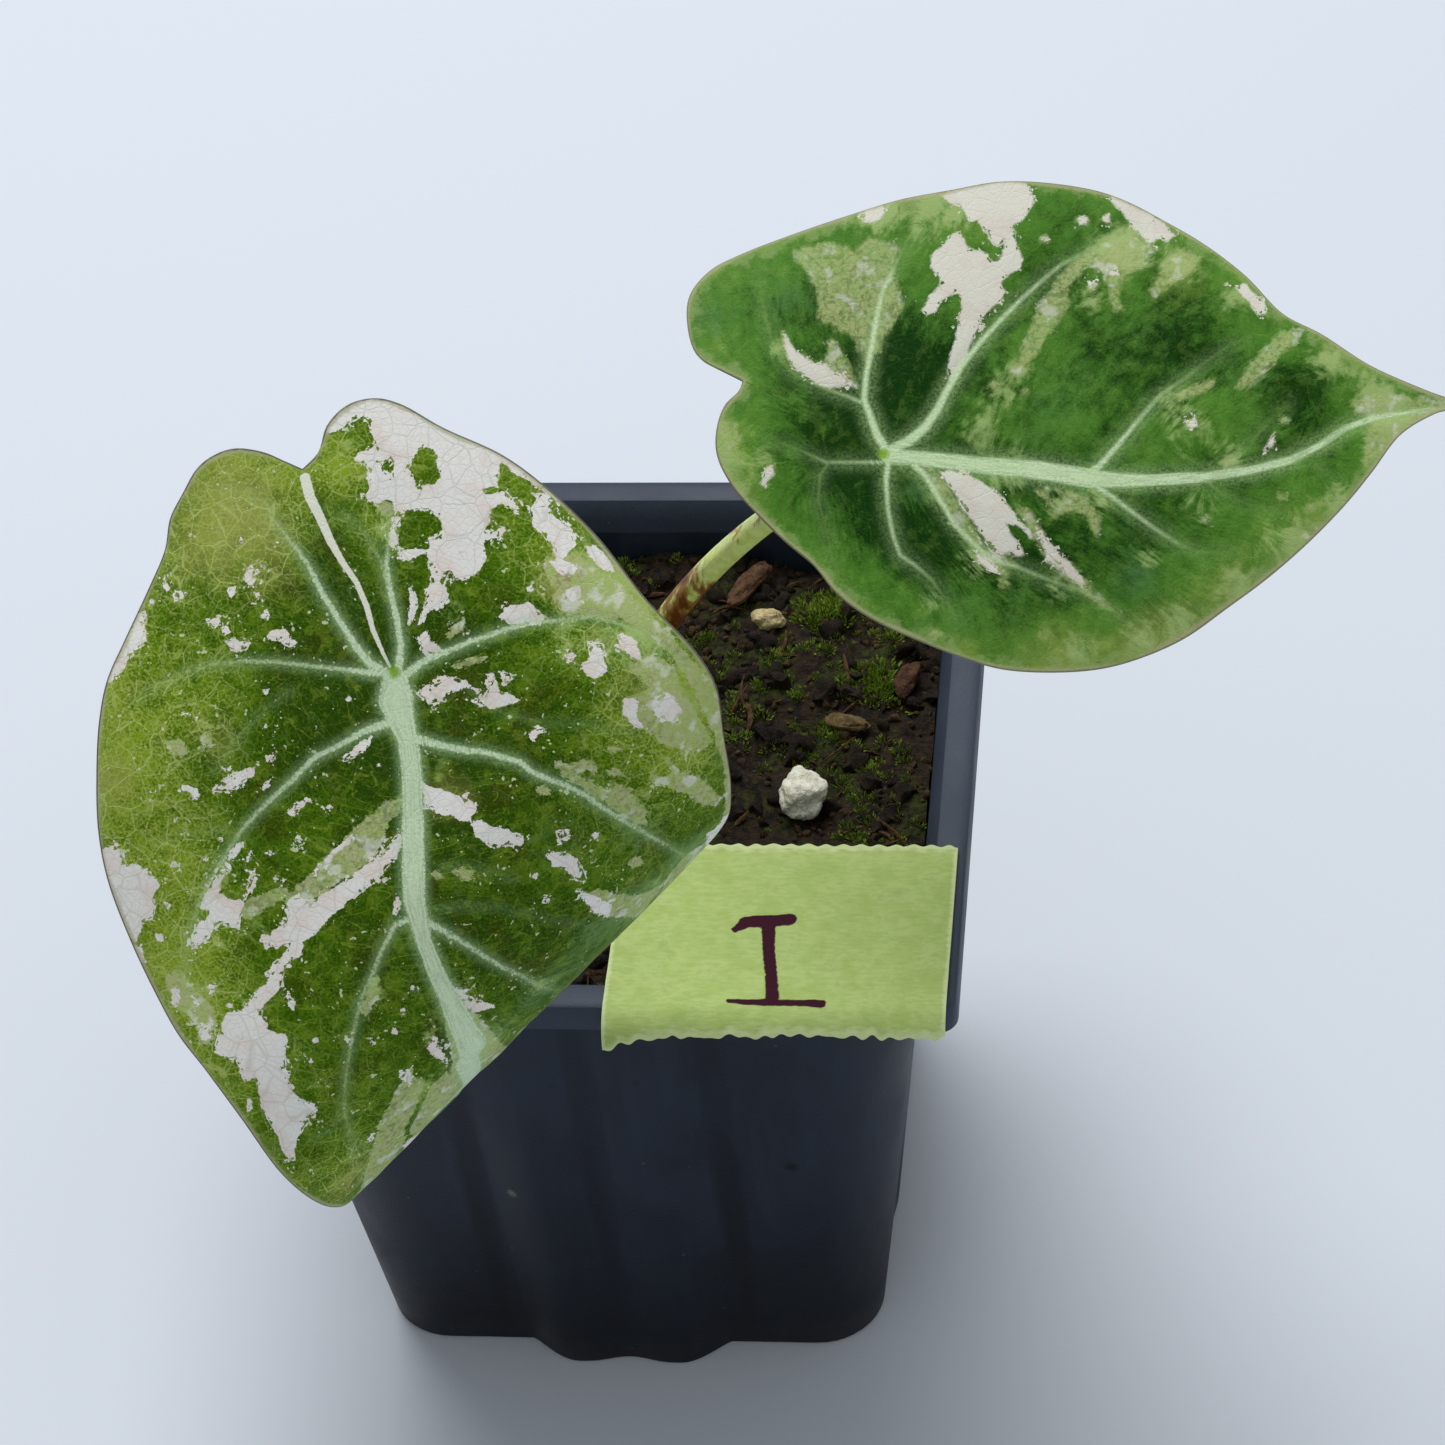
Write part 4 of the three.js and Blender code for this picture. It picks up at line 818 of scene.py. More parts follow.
class Value:
    """The output of a shader node, which can be worked with as a number"""

    def __init__(self, finish, socket):
        self.finish = finish
        self.socket = socket

    def math(self, operation, *others):
        sockets = dict(enumerate((self,) + others))
        return self.finish.node("ShaderNodeMath", {"operation": operation}, sockets)

    def __add__(self, other):
        return self.math("ADD", other)

    def __mul__(self, other):
        return self.math("MULTIPLY", other)

    def __sub__(self, other):
        return self.math("SUBTRACT", other)

    def __rsub__(self, other):
        return self.finish.node("ShaderNodeMath", {"operation": "SUBTRACT"}, {0: other, 1: self})

    def __pow__(self, other):
        return self.math("POWER", other)

    __radd__ = __add__
    __rmul__ = __mul__

    def most(self, other):
        return self.math("MAXIMUM", other)

    def least(self, other):
        return self.math("MINIMUM", other)

    def size(self):
        return self.math("ABSOLUTE")

    def step(self, low, high, start=0.0, end=1.0):
        """Goes smoothly from start to end as the value goes from low to high"""
        settings = {"interpolation_type": "SMOOTHSTEP"}
        sockets = {"Value": self, "From Min": low, "From Max": high, "To Min": start, "To Max": end}
        return self.finish.node("ShaderNodeMapRange", settings, sockets)

    def fade(self, low, high, start=1.0):
        """Goes smoothly from start to nothing as the value goes from low to high"""
        return self.step(low, high, start, 0)


class Finish:
    """A node material, built up in Python"""

    def __init__(self, name, **constants):
        self.material = bpy.data.materials.new(name)
        self.material.use_nodes = True
        self.tree = self.material.node_tree
        self.tree.nodes.clear()
        self.shader = self.tree.nodes.new("ShaderNodeBsdfPrincipled")
        output = self.tree.nodes.new("ShaderNodeOutputMaterial")
        self.tree.links.new(self.shader.outputs[0], output.inputs[0])
        for socket, value in constants.items():
            self.set(socket.replace("_", " "), value)

    def feed(self, socket, value):
        """Links or sets a socket. A colour is given as it is seen, from 0 to 255."""
        if isinstance(value, Value):
            self.tree.links.new(value.socket, socket)
        elif isinstance(value, tuple) and socket.type == "RGBA":
            socket.default_value = (*((level / 255) ** SCREEN_GAMMA for level in value), 1)
        else:
            socket.default_value = value

    def set(self, socket, value):
        self.feed(self.shader.inputs[socket], value)

    def node(self, kind, settings=None, sockets=None, output=0):
        node = self.tree.nodes.new(kind)
        for setting, value in (settings or {}).items():
            setattr(node, setting, value)
        for socket, value in (sockets or {}).items():
            self.feed(node.inputs[socket], value)
        return Value(self, node.outputs[output])

    def attribute(self, name, output="Fac"):
        return self.node("ShaderNodeAttribute", {"attribute_name": name}, output=output)

    def vector_math(self, operation, first, second=(0, 0, 0), output=0):
        sockets = {0: first, 1: second}
        return self.node("ShaderNodeVectorMath", {"operation": operation}, sockets, output)

    def stretched(self, vector, scale):
        return self.vector_math("MULTIPLY", vector, scale)

    def part(self, vector, axis):
        return self.node("ShaderNodeSeparateXYZ", None, {0: vector}, axis)

    def place(self, scale=(1, 1, 1)):
        """Object coordinates in millimetres, stretched"""
        coordinates = self.node("ShaderNodeTexCoord", output="Object")
        return self.stretched(coordinates, tuple(1 / MM * size for size in scale))

    def noise(self, vector, size, detail=2, roughness=0.5, output=0):
        """Even noise whose features are about the given size across"""
        sockets = {"Vector": vector, "Scale": 1 / size, "Detail": detail, "Roughness": roughness}
        return self.node("ShaderNodeTexNoise", None, sockets, output)

    def cells(self, vector, size, feature="F1"):
        sockets = {"Vector": vector, "Scale": 1 / size}
        return self.node("ShaderNodeTexVoronoi", {"feature": feature}, sockets)

    def net(self, vector, size, line):
        """A net of lines with meshes of the given size"""
        return self.cells(vector, size, "DISTANCE_TO_EDGE").fade(0.0, line)

    def mix(self, first, second, share):
        """A colour between two others"""
        settings = {"data_type": "RGBA", "clamp_factor": True}
        return self.node("ShaderNodeMix", settings, {0: share, 6: first, 7: second}, output=2)

    def layers(self, body, *coats):
        """A colour with others laid over it in turn, each by its share"""
        for tint, share in coats:
            body = self.mix(body, tint, share)
        return body

    def done(self, body, height, depth):
        """The material, with its colour and a relief of the given depth in millimetres"""
        normal = self.node("ShaderNodeBump", None, {"Height": height, "Distance": depth * MM})
        self.set("Normal", normal)
        self.set("Base Color", body)
        return self.material


class LeafFinish(Finish):
    """A marbled leaf's upper side. Softness is how blurred its markings' edges are, in mm, and
    streak how far they are drawn out along the veins."""

    def __init__(self, name, tints, softness, streak):
        super().__init__(name, Specular_IOR_Level=tints.gloss)
        self.tints = tints
        self.softness = softness
        for part in ("flat", "grain", "rib"):
            setattr(self, part, self.attribute(part, "Vector"))
        for part in ("cream", "ghost", "seam", "tone", "warm", "mint", "veins", "strength", "edge"):
            setattr(self, part, self.attribute(part))
        self.pale = self.attribute("pale") * tints.pale_share

        flat = self.flat
        self.brushed = self.stretched(self.grain, (1, streak, 1))
        self.pit = self.vector_math("LENGTH", flat, output=1)
        self.drift = self.noise(flat, 8, 3)
        self.patchy = self.noise(flat, 2.1, 4, 0.6)
        streaks = self.noise(self.brushed, 0.5, 3, 0.65)
        self.streaks = (streaks - 0.5) * self.pit.step(2, 10, 0.2, 1) + 0.5
        self.fine = self.noise(flat, 0.28, 2, 0.6)
        self.crowd = self.noise(flat, 3.2, 3, 0.6)
        self.flecks = self.noise(flat, 0.6, 1.5, 0.5)
        sway = self.noise(flat, 1 / 0.35, output=1)
        self.swayed = self.vector_math("ADD", flat, sway)
        self.coarse_net = self.net(self.swayed, 2.6, 0.045)
        self.small_net = self.net(self.swayed, 0.8, 0.12)
        lengths = self.noise(self.stretched(self.grain, (0.3, 0.2, 1)), 1, 2)
        self.threads = lengths.math("PINGPONG", 0.045).fade(0.0, 0.006)

    def green(self):
        """Dark and light green, browner and yellower in places, with painted shade beside the main veins
        and a mint painted sheen
        """
        tints, tone, drift, patchy = self.tints, self.tone, self.drift, self.patchy
        streaks, fine = self.streaks, self.fine
        shade = tone + (drift - 0.5) * 0.8 + (patchy - 0.5) * 0.9 + (streaks - 0.5) * 0.9
        # beside the main veins the green is darker: painted shade of their relief
        shade = shade + (fine - 0.5) * tints.grain - self.veins.step(0.3, 4, 0.3, 0) * self.strength
        brown = self.noise(self.flat, 5, 3) + self.warm * 0.1
        brown = brown.step(0.5, 0.66) * shade.step(-0.6, 0.3, 1, 0.2)
        marbled = self.noise(self.swayed, 1.6, 5, 0.66) + tone * 0.05
        paler = (marbled + (drift - 0.5) * 0.3).step(0.52, 0.56)
        darker = (marbled + (self.crowd - 0.5) * 0.3).fade(0.42, 0.46)
        return self.layers(
            tints.dark,
            (tints.middle, shade.step(-0.75, 0.1)),
            (tints.light, shade.step(0.05, 0.95)),
            (tints.brown, brown * 0.55),
            (tints.olive, (self.warm + (patchy - 0.5) * 0.8).step(0.1, 1.1) * 0.8),
            (tints.light, paler * tints.marbling),
            (tints.dark, darker * tints.marbling),
            # painted sheen in a mint tint
            (tints.mint, (self.mint + (streaks - 0.5) * 1.2).step(0.1, 1.1) * 0.75))

    def netted(self, green):
        """The smallest veins as a fine pale net with longer threads, then the leaf's paler border,
        and pale soft patches and flecks between the veins, lengthways to them"""
        tints, patchy, fine, crowd, pale = self.tints, self.patchy, self.fine, self.crowd, self.pale
        worn = (patchy + fine - 0.5).step(0.25, 0.55)
        net = (self.coarse_net * 0.85).most(self.small_net * 0.45).most(self.threads * 0.75) * worn
        clearer = (self.tone + self.drift - 0.5 + self.warm).step(-0.3, 0.7, 0.1, 1)
        border = self.edge + (patchy - 0.5) * 6 + (crowd - 0.5) * 5 + (fine - 0.5) * 2
        washed = (pale + (patchy - 0.5) * 1.4 + (self.streaks - 0.5) * 1.8).step(0.15, 0.95)
        sparse = (self.flecks + crowd * 0.8 + pale * 0.06).step(1.12, 1.15)
        return self.layers(
            green,
            (tints.net, net * clearer * tints.net_share),
            (tints.pale, border.fade(0.1, 1.6) * tints.border),
            (tints.light, self.threads * worn * tints.net_share * 0.35),
            (tints.pale, washed * pale.step(0.02, 0.3) * 0.85),
            (self.mix(tints.pale, tints.cream, 0.4), sparse * tints.flecks))

    def marked(self, green):
        """Thin, translucent markings with a mesh of green left in them, cream markings with green
        islands and spatters round them, and the scar"""
        tints, patchy, crowd, cream, ghost = self.tints, self.patchy, self.crowd, self.cream, self.ghost
        ragged = (self.noise(self.flat, 0.9, 5, 0.7) - 0.5) * 1.7
        broken = (self.noise(self.brushed, 0.42, 3, 0.62) - 0.5) * 1.1
        spatter = (self.noise(self.flat, 0.75, 3, 0.62) - 0.5) * 2.6 + (crowd - 0.5) * 1.6

        soft = self.softness * 1.2
        ghost_mask = (ghost + ragged * 0.7 + broken * 1.2).step(-soft, soft)
        ghost_far = (ghost * 0.3 + spatter).step(0.28, 0.42) * ghost.step(-1.6, -0.3)
        ghost_mask = ghost_mask.most(ghost_far * 0.7)
        kept_green = (self.flecks * 0.7 + patchy * 0.6).step(0.62, 0.74)
        kept_green = kept_green.most(self.small_net * 0.5).most(self.coarse_net * 0.7)
        thin = self.layers(
            tints.ghost,
            (tints.pale, (crowd + self.streaks - 0.5).step(0.35, 0.65)),
            (self.mix(green, tints.ghost, 0.3), kept_green * 0.75),
            (tints.cream, (patchy * 0.5 + crowd * 0.7).step(0.62, 0.72) * 0.6))

        soft = self.softness * 0.6
        cream_mask = (cream + ragged * 0.6 + broken * 0.55).step(-soft, soft)
        cream_mask = cream_mask.most((cream * 0.4 + spatter).step(0.17, 0.25) * cream.step(-2, -0.4))
        islands = (cream * -0.7 + spatter + (patchy - 0.5) * 1.4).step(0.08, 0.18)
        cream_mask = cream_mask * (1 - islands * cream.step(0, 0.1))
        rosy = (self.noise(self.flat, 3.5, 2) + cream * -0.05).step(0.42, 0.62)
        wrinkles = self.coarse_net.most(self.small_net * 0.4).most(self.threads) * tints.wrinkles
        cream_tint = self.layers(tints.cream, (tints.rosy, rosy), (WRINKLE_GREY, wrinkles))

        scar = (self.seam + (self.fine - 0.5) * 0.15).step(-0.06, 0.06)
        freckles = (self.warm * 0.5 + spatter * 0.5).step(0.5, 0.65)
        surface = self.layers(
            green,
            (thin, ghost_mask * tints.ghost_share),
            (cream_tint, cream_mask),
            (SCAR_WHITE, scar),
            (FRECKLE_BROWN, freckles * cream_mask.most(ghost_mask) * 0.6))
        return surface, cream_mask

    def veined(self, surface, cream_mask):
        """Pale main veins, whiter in the middle, whose short hairs make their edges ragged"""
        tints, strength, softness = self.tints, self.strength, self.softness
        hairs = self.noise(self.flat, 0.34, 3, 0.7)
        feathered = self.veins + (hairs - 0.5) * tints.feather
        glow = feathered.fade(-0.1, tints.glow) ** 1.5 * hairs.step(0.38, 0.62, 0.25, 1.0)
        glow = glow * strength * (tints.glow_share - cream_mask * 0.2)
        off_rib = self.part(self.rib, 0).size()
        lines = self.noise(self.stretched(self.rib, (1, 0.06, 1)), 0.22, 3, 0.6)
        lines = (lines - 0.5) * off_rib.fade(1.3, 2.0) + 0.5
        core = feathered + (lines - 0.5) * 0.5
        core = core.fade(-0.14 - softness * 0.6, 0.06 + softness * 0.4)
        streaky = (lines * 0.6 + hairs * 0.4).step(0.44, 0.58) * feathered.step(-1.2, -0.2, 0.45, 0.9)
        vein_tint = self.mix(tints.vein, self.mix(tints.vein, tints.middle, 0.35), streaky)
        vein_tint = self.mix(tints.net, vein_tint, strength.step(0.25, 0.75))
        return self.layers(
            surface,
            (tints.glow_tint, glow),
            (vein_tint, core * (strength * 1.15).least(0.95)),
            (PIT_GREEN, (self.pit + self.fine - 0.5).fade(0.2, 0.95) * 0.9))

    def rimmed(self, surface):
        """The leaf's thin rim, and a painted sheen where it turns away, for the light that its short hairs
        catch
        """
        rim = self.edge + (self.drift - 0.5) * 1.4 + (self.fine - 0.5) * 0.3
        turned = self.node("ShaderNodeLayerWeight", None, {"Blend": 0.35}, output="Facing")
        # painted sheen: pale green laid over the colour where the leaf turns away
        painted_rim_sheen = turned.step(0.5, 1.0) * self.noise(self.flat, 0.17, 1).step(0.2, 0.8, 0.5, 1)
        return self.layers(
            surface,
            (self.tints.margin, rim.fade(0.1, 0.55) * 0.75),
            (OUTLINE_GREY, self.edge.fade(0.04, 0.16) * self.tints.outline),
            (PAINTED_RIM_SHEEN_GREEN, painted_rim_sheen * self.tints.painted_rim_sheen))

    def finished(self):
        surface = self.rimmed(self.veined(*self.marked(self.netted(self.green()))))
        rough = self.tints.rough
        dullness = self.fine * 0.5 + self.patchy * 0.5
        self.set("Roughness", dullness.step(0.35, 0.65, rough - 0.08, rough + 0.08))
        relief = self.streaks * 0.3 + self.fine * 0.25 + self.small_net * -0.25
        return self.done(surface, relief + self.coarse_net * -0.3, 0.05)


def underside_finish(name):
    finish = Finish(name, Roughness=0.55, Specular_IOR_Level=0.1)
    flat = finish.attribute("flat", "Vector")
    net = finish.cells(flat, 1.5, "DISTANCE_TO_EDGE")
    ragged = (finish.noise(flat, 1.6, 4, 0.65) - 0.5) * 1.2
    cream = finish.attribute("cream") + ragged
    body = finish.layers(
        (98, 122, 66),
        ((134, 152, 90), finish.noise(flat, 7, 3).step(0.35, 0.65)),
        ((122, 82, 80), finish.noise(flat, 12, 2).step(0.5, 0.7) * 0.5),
        ((206, 202, 184), cream.step(0.5, 0.8) * 0.75),
        ((90, 112, 70), net.fade(0, 0.08) * 0.4),
        ((186, 200, 158), finish.attribute("veins").fade(0.0, 0.35)))
    return finish.done(body, finish.noise(flat, 0.6, 3) * 0.5 + net.fade(0, 0.2), 0.12)


def stalk_finish(name, rust_start, rust_end):
    """A waxy stalk, rusty between two heights along it"""
    finish = Finish(name, Roughness=0.38, Specular_IOR_Level=0.4,
                    Subsurface_Weight=0.15, Subsurface_Scale=0.002)
    lines = finish.noise(finish.place(), 0.9, 3, 0.6)
    blotch = finish.noise(finish.place(), 4, 3)
    height = finish.attribute("height")
    near = height.step(rust_start - 0.04, rust_start + 0.04) * height.fade(rust_end - 0.06, rust_end)
    rust = finish.noise(finish.place((1, 1, 0.4)), 2.2, 3, 0.6) + near * 0.22
    body = finish.layers(
        (206, 222, 112),
        ((224, 236, 146), lines.step(0.35, 0.65)),
        ((208, 220, 168), blotch.step(0.5, 0.7) * 0.5),
        ((146, 84, 26), rust.step(0.58, 0.7) * 0.9),
        ((92, 40, 14), (rust + (blotch - 0.5) * 0.4).step(0.72, 0.82) * 0.8),
        ((84, 52, 30), (height + (blotch - 0.5) * 0.2).fade(0.0, 0.12) * 0.8))
    return finish.done(body, lines, 0.04)


def pot_finish():
    finish = Finish("satin blue-black plastic", Specular_IOR_Level=0.22)
    place = finish.place()
    x, y, z = (finish.part(place, axis) for axis in range(3))
    grain = finish.noise(place, 0.25, 3, 0.6)
    dust = finish.noise(place, 14, 4, 0.6)
    scuffs = finish.noise(finish.place((1, 1, 0.15)), 0.8, 3, 0.7)
    bands = finish.noise(finish.place((1, 1, 0.06)), 3.5, 2)

    # painted shade in the creases beside the ribs and towards the foot, and a rim band painted lighter, as
    # if lit from above
    across = x.size().least(y.size())
    off_crease = across - CREASE_ACROSS
    crease = (off_crease * off_crease).fade(0, CREASE_REACH ** 2)
    crease = crease.most((across * across).fade(0, CREASE_REACH ** 2) * 0.8)
    foot = (z + (dust - 0.5) * 20).fade(4, 40)
    shadow = (crease * z.step(10, 60, 0.75, 0.4)).most(foot * 0.7)
    # the rim band is painted lighter, as if lit from above
    rim = z.step(POT_HEIGHT - POT_RIM_BAND - 0.4, POT_HEIGHT - POT_RIM_BAND)

    def off(spot):
        return finish.vector_math("DISTANCE", place, spot, output=1)

    body = finish.layers(
        (32, 38, 50),
        ((43, 51, 65), dust.step(0.35, 0.7) * 0.8),
        ((52, 62, 78), scuffs.step(0.62, 0.75) * 0.2 + bands.step(0.5, 0.7) * 0.2),
        # painted shade: the creases and the foot
        ((7, 8, 12), shadow * z.fade(POT_HEIGHT - 7, POT_HEIGHT - 5)),
        # painted light on the rim band
        ((72, 82, 98), rim * 0.5),
        ((148, 144, 132), finish.cells(place, 5).fade(0.03, 0.05) * 0.15),
        # painted shade in the small dents
        *(((5, 6, 9), off(shaded_dent).fade(0.3, 1.2, 0.8)) for shaded_dent in PAINTED_SHADE_DENTS),
        ((128, 134, 124), (off(DUST_SPOT) + (grain - 0.5) * 2).fade(0.4, 1.1, 0.8)))
    finish.set("Roughness", dust.step(0.3, 0.7, 0.4, 0.55))
    return finish.done(body, grain, 0.05)


def soil_finish():
    finish = Finish("damp dark potting mix", Roughness=0.85, Specular_IOR_Level=0.25)
    place = finish.place()
    broad = finish.noise(place, 7, 3)
    fine = finish.noise(place, 1.1, 4, 0.7)
    fibre = finish.noise(finish.place((0.3, 1, 1)), 0.6, 3, 0.7)
    body = finish.layers(
        (18, 14, 9),
        ((50, 38, 22), fine.step(0.35, 0.65)),
        ((84, 60, 34), fibre.step(0.6, 0.72) * 0.5),
        ((52, 62, 16), broad.step(0.46, 0.6) * fine.step(0.38, 0.6) * 0.85))
    return finish.done(body, fine * 0.7 + fibre * 0.3, 0.9)


def plain_finish(name, dark, light, size, depth, roughness=0.85):
    """A rough matt finish of two mottled colours"""
    finish = Finish(name, Roughness=roughness, Specular_IOR_Level=0.3)
    place = finish.place()
    broad = finish.noise(place, size, 3, 0.6)
    fine = finish.noise(place, size / 5, 3, 0.7)
    body = finish.mix(dark, light, (broad * 0.6 + fine * 0.4).step(0.38, 0.62))
    return finish.done(body, fine, depth)


def tape_finish():
    finish = Finish("yellow-green crepe tape", Roughness=0.72, Specular_IOR_Level=0.1)
    crepe = finish.noise(finish.place((0.35, 1, 1)), 0.5, 3, 0.6)
    mottle = finish.noise(finish.place(), 3.2, 3, 0.6)
    edge = finish.attribute("edge") + (crepe - 0.5) * 1.5
    ink = finish.attribute("ink") + (crepe - 0.5) * 0.5
    body = finish.layers(
        (172, 194, 112),
        ((188, 208, 132), mottle.step(0.3, 0.7)),
        ((156, 182, 98), crepe.step(0.45, 0.6) * 0.35),
        ((136, 158, 76), mottle.step(0.55, 0.75) * 0.35),
        ((216, 228, 172), edge.fade(0.2, 1.3) * 0.75),
        ((62, 24, 40), ink.fade(-0.08, 0.1)))
    return finish.done(body, crepe * 0.6 + mottle * 0.4, 0.12)


# Leaves

def flat_points(blade, pixels, seen_flat, seen_pixels):
    """The flat pattern's points that are seen at photograph pixels, found by closing in on them"""
    finder = kdtree.KDTree(len(seen_pixels))
    for index, (u, v) in enumerate(seen_pixels):
        finder.insert((u, v, 0), index)
    finder.balance()
    pixels = np.array(pixels, float)
    flat = np.array([seen_flat[finder.find((u, v, 0))[1]] for u, v in pixels])
    for _ in range(CLOSING_ROUNDS):
        x, y = flat.T
        here = in_photo(blade_surface(blade, x, y))
        right = in_photo(blade_surface(blade, x + SMALL_STEP, y)) - here
        above = in_photo(blade_surface(blade, x, y + SMALL_STEP)) - here
        slopes = np.stack([right, above], -1) / SMALL_STEP
        sound = np.abs(np.linalg.det(slopes)) > LEAST_SLOPE
        slopes[~sound] = np.eye(2)
        move = np.linalg.solve(slopes, (pixels - here)[..., None])[..., 0]
        reach = np.linalg.norm(move, axis=1, keepdims=True)
        move *= np.minimum(1, LONGEST_MOVE / np.maximum(reach, 1e-9))
        flat += np.where(sound[:, None], move, 0)
    return flat


def flat_vectors(first, second):
    return np.stack([first, second, np.zeros(len(first))], -1)


def round_and_along(x, y, vein_lines, distances):
    """How far round between the veins and how far out on the leaf each point is"""
    middles = [line[len(line) // 2] for line in vein_lines]
    order = np.argsort([math.atan2(middle[1], middle[0]) for middle in middles])
    ranked = np.maximum(distances[order], 0.01)
    best = np.full(len(x), FAR)
    across = np.zeros(len(x))
    for rank in range(len(order)):
        near, far = ranked[rank], ranked[(rank + 1) % len(order)]
        closer = near + far < best
        best = np.where(closer, near + far, best)
        across = np.where(closer, rank + near / (near + far), across)
    return flat_vectors(across * VEIN_SPACING, np.hypot(x, y))


def beside_midrib(x, y, midrib, distance):
    """How far to one side of the midrib and how far along it each point is"""
    start, end = np.array(midrib[0][:2]), np.array(midrib[-1][:2])
    run = (end - start) / np.linalg.norm(end - start)
    off_x, off_y = x - start[0], y - start[1]
    side = np.sign(off_x * run[1] - off_y * run[0])
    return flat_vectors(distance * side, off_x * run[0] + off_y * run[1])


def make_leaf(name, node, blade, marks, upper, lower):
    half = SPOKES // 2
    right = even_curve(blade["right_margin"], half + 1)
    left = even_curve(blade["left_margin"], half + 1)[::-1]
    outline = np.vstack([right[:half], left])

    # each row of points is a ring: out over the upper side, round the rim and back underneath
    rows = [(share, 0.0) for share in np.linspace(0, 1, RINGS + 1)]
    rows += [(1.0, 0.5), (1.0, 1.0)]
    rows += [(share, 1.0) for share in np.linspace(0.99, 0, UNDER_RINGS)]
    shares = np.array([share for share, _ in rows])
    depths = np.repeat([depth for _, depth in rows], len(outline))
    flat = (shares[:, None, None] * outline[None]).reshape(-1, 2)
    x, y = flat.T
    surface = blade_surface(blade, x, y)
    normals = blade_normals(blade, x, y)

    upper_side = depths == 0
    toward_camera = np.sum(normals * (np.array(CAMERA_PLACE) - surface), axis=1)
    seen = upper_side & (toward_camera > LEAST_FACING)
    seen_flat, seen_pixels = flat[seen], in_photo(surface)[seen]

    def to_flat(pixels):
        """Flat places of photograph pixels, with what else is said of each kept after them"""
        places = flat_points(blade, [pixel[:2] for pixel in pixels], seen_flat, seen_pixels)
        return [(*place, *pixel[2:]) for place, pixel in zip(places, pixels)]

    def sized(line):
        return [(px, py, width * PIXEL) for px, py, width in to_flat(line)]

    def deepest(outlines):
        return np.max([inside_distance(flat, to_flat(points)) for points in outlines], axis=0)

    def spread(spots):
        total = np.zeros(len(flat))
        for px, py, radius, value in to_flat(spots):
            total += value * np.exp(-((x - px) ** 2 + (y - py) ** 2) / (radius * PIXEL) ** 2)
        return total

    vein_lines = [sized(vein) for vein in marks["veins"]] + marks["hidden_veins"]
    found = [line_distance(flat, line) for line in vein_lines]
    distances = np.array([gap for gap, _ in found])
    vein_gap = distances.min(axis=0)
    widths = np.array([width for _, width in found])
    vein_width = widths[distances.argmin(axis=0), np.arange(len(flat))]
    edge_line = [(px, py, 0) for px, py in outline[::3]] + [(*outline[0], 0)]
    edge_gap, _ = line_distance(flat, edge_line)

    dots = [[(u + r * math.cos(turn), v + r * DOT_SQUASH * math.sin(turn)) for turn in DOT_TURNS]
            for u, v, r in marks["dots"]]
    clear_dots, faint_dots = (dots, []) if marks["clear_dots"] else ([], dots)
    kept = deepest(marks["green"])
    seam = np.full(len(flat), -3.0)
    if marks["seam"]:
        seam = -np.clip(line_distance(flat, sized(marks["seam"]))[0], -3, 3)

    # the veins are sunk above and stand out below, and the leaf is plump between them
    inward = np.clip(edge_gap / 3, 0, 1)
    large = np.clip(vein_width / 0.3, 0, 1)
    groove = VEIN_GROOVE * np.exp(-(np.maximum(vein_gap + 0.1, 0) / 0.7) ** 2) * large
    ridge = VEIN_RIDGE * np.exp(-(np.maximum(vein_gap, 0) / 0.6) ** 2) * large
    plump = PLUMPNESS * np.clip(vein_gap / 4, 0, 1) * np.clip(edge_gap / 4, 0, 1)
    thickness = RIM_THICKNESS + (BLADE_THICKNESS - RIM_THICKNESS) * inward
    lift = np.where(upper_side, plump - groove, -thickness * depths - ridge * inward)
    bulge = np.where(depths == 0.5, 1 + RIM_BULGE / np.maximum(np.hypot(x, y), 5), 1)
    placed = blade_surface(blade, x * bulge, y * bulge) + normals * lift[:, None]

    leaf = formed_grid(name, placed.reshape(len(rows), len(outline), 3))
    set_attributes(
        leaf,
        flat=flat_vectors(x, y),
        grain=round_and_along(x, y, vein_lines, distances),
        rib=beside_midrib(x, y, vein_lines[0], distances[0]),
        cream=np.minimum(deepest(marks["cream"] + clear_dots), -kept),
        ghost=np.minimum(deepest(marks["ghost"] + faint_dots), -kept),
        veins=np.clip(vein_gap, -3, 6),
        strength=np.clip(vein_width / 0.36, 0.2, 1),
        edge=edge_gap,
        tone=spread(marks["tones"]) + 0.2 * (1 - np.clip(edge_gap / 12, 0, 1)) - 0.08,
        warm=spread(marks["warm"]),
        mint=spread(marks["mint"]),
        pale=spread(marks["pale"]),
        seam=seam,
        under=(depths > 0).astype(float))
    merge_seams(leaf)
    under = leaf.data.attributes["under"].data
    for face in leaf.data.polygons:
        face.material_index = int(all(under[index].value > 0.5 for index in face.vertices))
    leaf.data.materials.append(upper)
    leaf.data.materials.append(lower)
    face_outwards(leaf)
    shade_smooth(leaf, 60)
    return keep_piece(leaf, name, [node])


# Stalks

